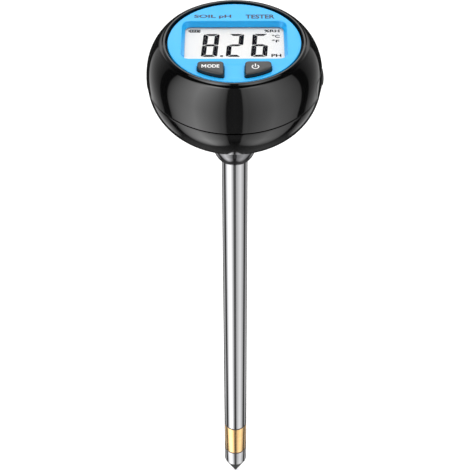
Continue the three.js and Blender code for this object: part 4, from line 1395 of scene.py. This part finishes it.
for name, side in KEY_SIDES.items():
    key, key_top = key_piece(name, side)
    key.data.materials.append(key_charcoal)
    stem_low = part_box(name + "_button")[0].z
    switch_low, switch_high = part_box(name + "_plunger")
    stem_x, stem_y = (switch_low.x + switch_high.x) / 2, (switch_low.y + switch_high.y) / 2
    stem_top = FLANGE_TOP - FLANGE_THICKNESS - 0.01 * MM
    stem = round_tool(1.6 * MM, stem_low, stem_top, stem_x, stem_y)
    stem.name = name + "_key_stem"
    stem.data.materials.append(key_charcoal)
    for piece in (key, stem):
        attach(piece, name + "_key")
        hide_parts(name + "_button")

LETTER_FOOT, LETTER_TALL = -17.8 * MM, 1.9 * MM
mode_words = [("ODE", -9.55 * MM, LETTER_FOOT, LETTER_TALL, 4.3 * MM, key_top)]
lettering("mode_lettering", mode_words, white_ink, "mode_key", 0.035)
# The M is drawn from listed points, since a widened font closes up its inner corners.
M_SHAPE = [
    (0, 0), (0.2, 0), (0.2, 0.6), (0.5, 0.18), (0.8, 0.6), (0.8, 0),
    (1, 0), (1, 1), (0.78, 1), (0.5, 0.58), (0.22, 1), (0, 1),
]
letter_m = [
    (-11.5 * MM + 1.65 * MM * x, LETTER_FOOT + LETTER_TALL * y) for x, y in M_SHAPE
]
mode_m = flat_shapes("mode_lettering_m", [letter_m], key_top)
mode_m.data.materials.append(white_ink)
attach(mode_m, "mode_key")
# The power sign: most of a ring, open at the top, with a short bar in the opening.
SIGN_CENTRE = (7.35 * MM, -17.25 * MM)
SIGN_RADIUS = 1.15 * MM
SIGN_LINE = 0.2 * MM
opening = math.radians(38)
turns = [math.pi / 2 + opening + (2 * math.pi - 2 * opening) * i / 28 for i in range(29)]
outer, inner = SIGN_RADIUS + SIGN_LINE, SIGN_RADIUS - SIGN_LINE
arc_sign = [
    (SIGN_CENTRE[0] + radius * math.cos(t), SIGN_CENTRE[1] + radius * math.sin(t))
    for radius, stretch in ((outer, turns), (inner, turns[::-1]))
    for t in stretch
]
bar_sign = bar_outline(
    SIGN_CENTRE[0] - SIGN_LINE, SIGN_CENTRE[1] - 0.1 * MM,
    SIGN_CENTRE[0] + SIGN_LINE, SIGN_CENTRE[1] + 1.75 * MM,
)
power_sign = flat_shapes("power_sign", [arc_sign, bar_sign], key_top)
power_sign.data.materials.append(white_ink)
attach(power_sign, "power_key")

# ---- Upper shell ----
# The dome is the other gloss black moulding. It stands a little proud of the bowl at the seam,
# has an opening for the drawer in its right side, and rolls over into the rim of the face.
LEDGE = FACE_RADIUS - 1.1 * MM
ledge_top = gasket_low.z
ledge_under = ledge_top - 1.4 * MM
groove_top = SEAM + 1.6 * MM
groove_radius = dome_radius(SEAM, WALL) + 1.15 * MM
RIM_TOP = dome_high.z
outer_heights = [SEAM + 0.3 * MM + (RIM_TURN - SEAM - 0.3 * MM) * i / 56 for i in range(57)]
dome_profile = [
    (dome_radius(SEAM) - 0.22 * MM, SEAM),
    (dome_radius(SEAM) - 0.06 * MM, SEAM + 0.06 * MM),
]
dome_profile += [(dome_radius(z), z) for z in outer_heights]
turn_radius = dome_radius(RIM_TURN)
dome_profile += eased([
    (turn_radius, RIM_TURN, 0),
    (RIM_RADIUS - 0.1 * MM, RIM_TOP - 0.5 * MM, 1.4 * MM),
    (HOLE_RADIUS + 0.62 * MM, RIM_TOP, 0.5 * MM),
    (HOLE_RADIUS, RIM_TOP, 0.22 * MM),
    (HOLE_RADIUS, ledge_top, 0),
], steps=8)[1:]
dome_profile += [(LEDGE, ledge_top), (LEDGE, ledge_under)]
inner_heights = [ledge_under + (groove_top - ledge_under) * i / 16 for i in range(17)]
dome_profile += [(dome_radius(z, WALL), z) for z in inner_heights]
dome_profile += [(groove_radius, groove_top), (groove_radius, SEAM)]
dome = turned("upper_shell_moulded", dome_profile)
machined(dome, drawer_tool(-0.1 * MM, SEAM - MM))
truly_round(dome, dome_normal)
dome.data.materials.clear()
dome.data.materials.append(gloss_black)
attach(dome, "meter_body")
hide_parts("upper_shell")


# ---- Screws ----
# Nine small zinc-plated screws: three through the bowl, three through the inner frame and
# three through the board. Each has a domed head with a cross recess.
def screw_piece(node):
    """One screw, rebuilt with a cross recess in its head, in the place of its CAD node."""
    low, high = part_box(node)
    x, y = (low.x + high.x) / 2, (low.y + high.y) / 2
    up = node.startswith("board")
    flip = 1 if up else -1
    seat = high.z - 1.2 * MM if up else low.z + 1.2 * MM
    end = low.z if up else high.z
    head = 1.7 * MM
    profile = eased([
        (0, end, 0),
        (1.0 * MM, end, 0.3 * MM),
        (1.0 * MM, seat, 0),
        (head, seat, 0.1 * MM),
        (head, seat + flip * 0.7 * MM, 0.4 * MM),
        (head * 0.72, seat + flip * 1.2 * MM, 0.5 * MM),
        (0, seat + flip * 1.2 * MM, 0),
    ])
    piece = turned(node + "_turned", profile, False, 40, (x, y))
    face_z = seat + flip * 1.2 * MM
    cut_low, cut_high = sorted((face_z + flip * 0.1 * MM, face_z - flip * 0.6 * MM))
    for half_x, half_y in ((0.95, 0.2), (0.2, 0.95)):
        machined(piece, block_tool(
            (x - half_x * MM, y - half_y * MM, cut_low),
            (x + half_x * MM, y + half_y * MM, cut_high),
        ))
    smoothed(piece)
    piece.data.materials.clear()
    piece.data.materials.append(bright_plate)
    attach(piece, "meter_body")
    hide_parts(node)


for group in ("board", "frame", "shell"):
    for number in (1, 2, 3):
        screw_piece(f"{group}_screw_{number}")
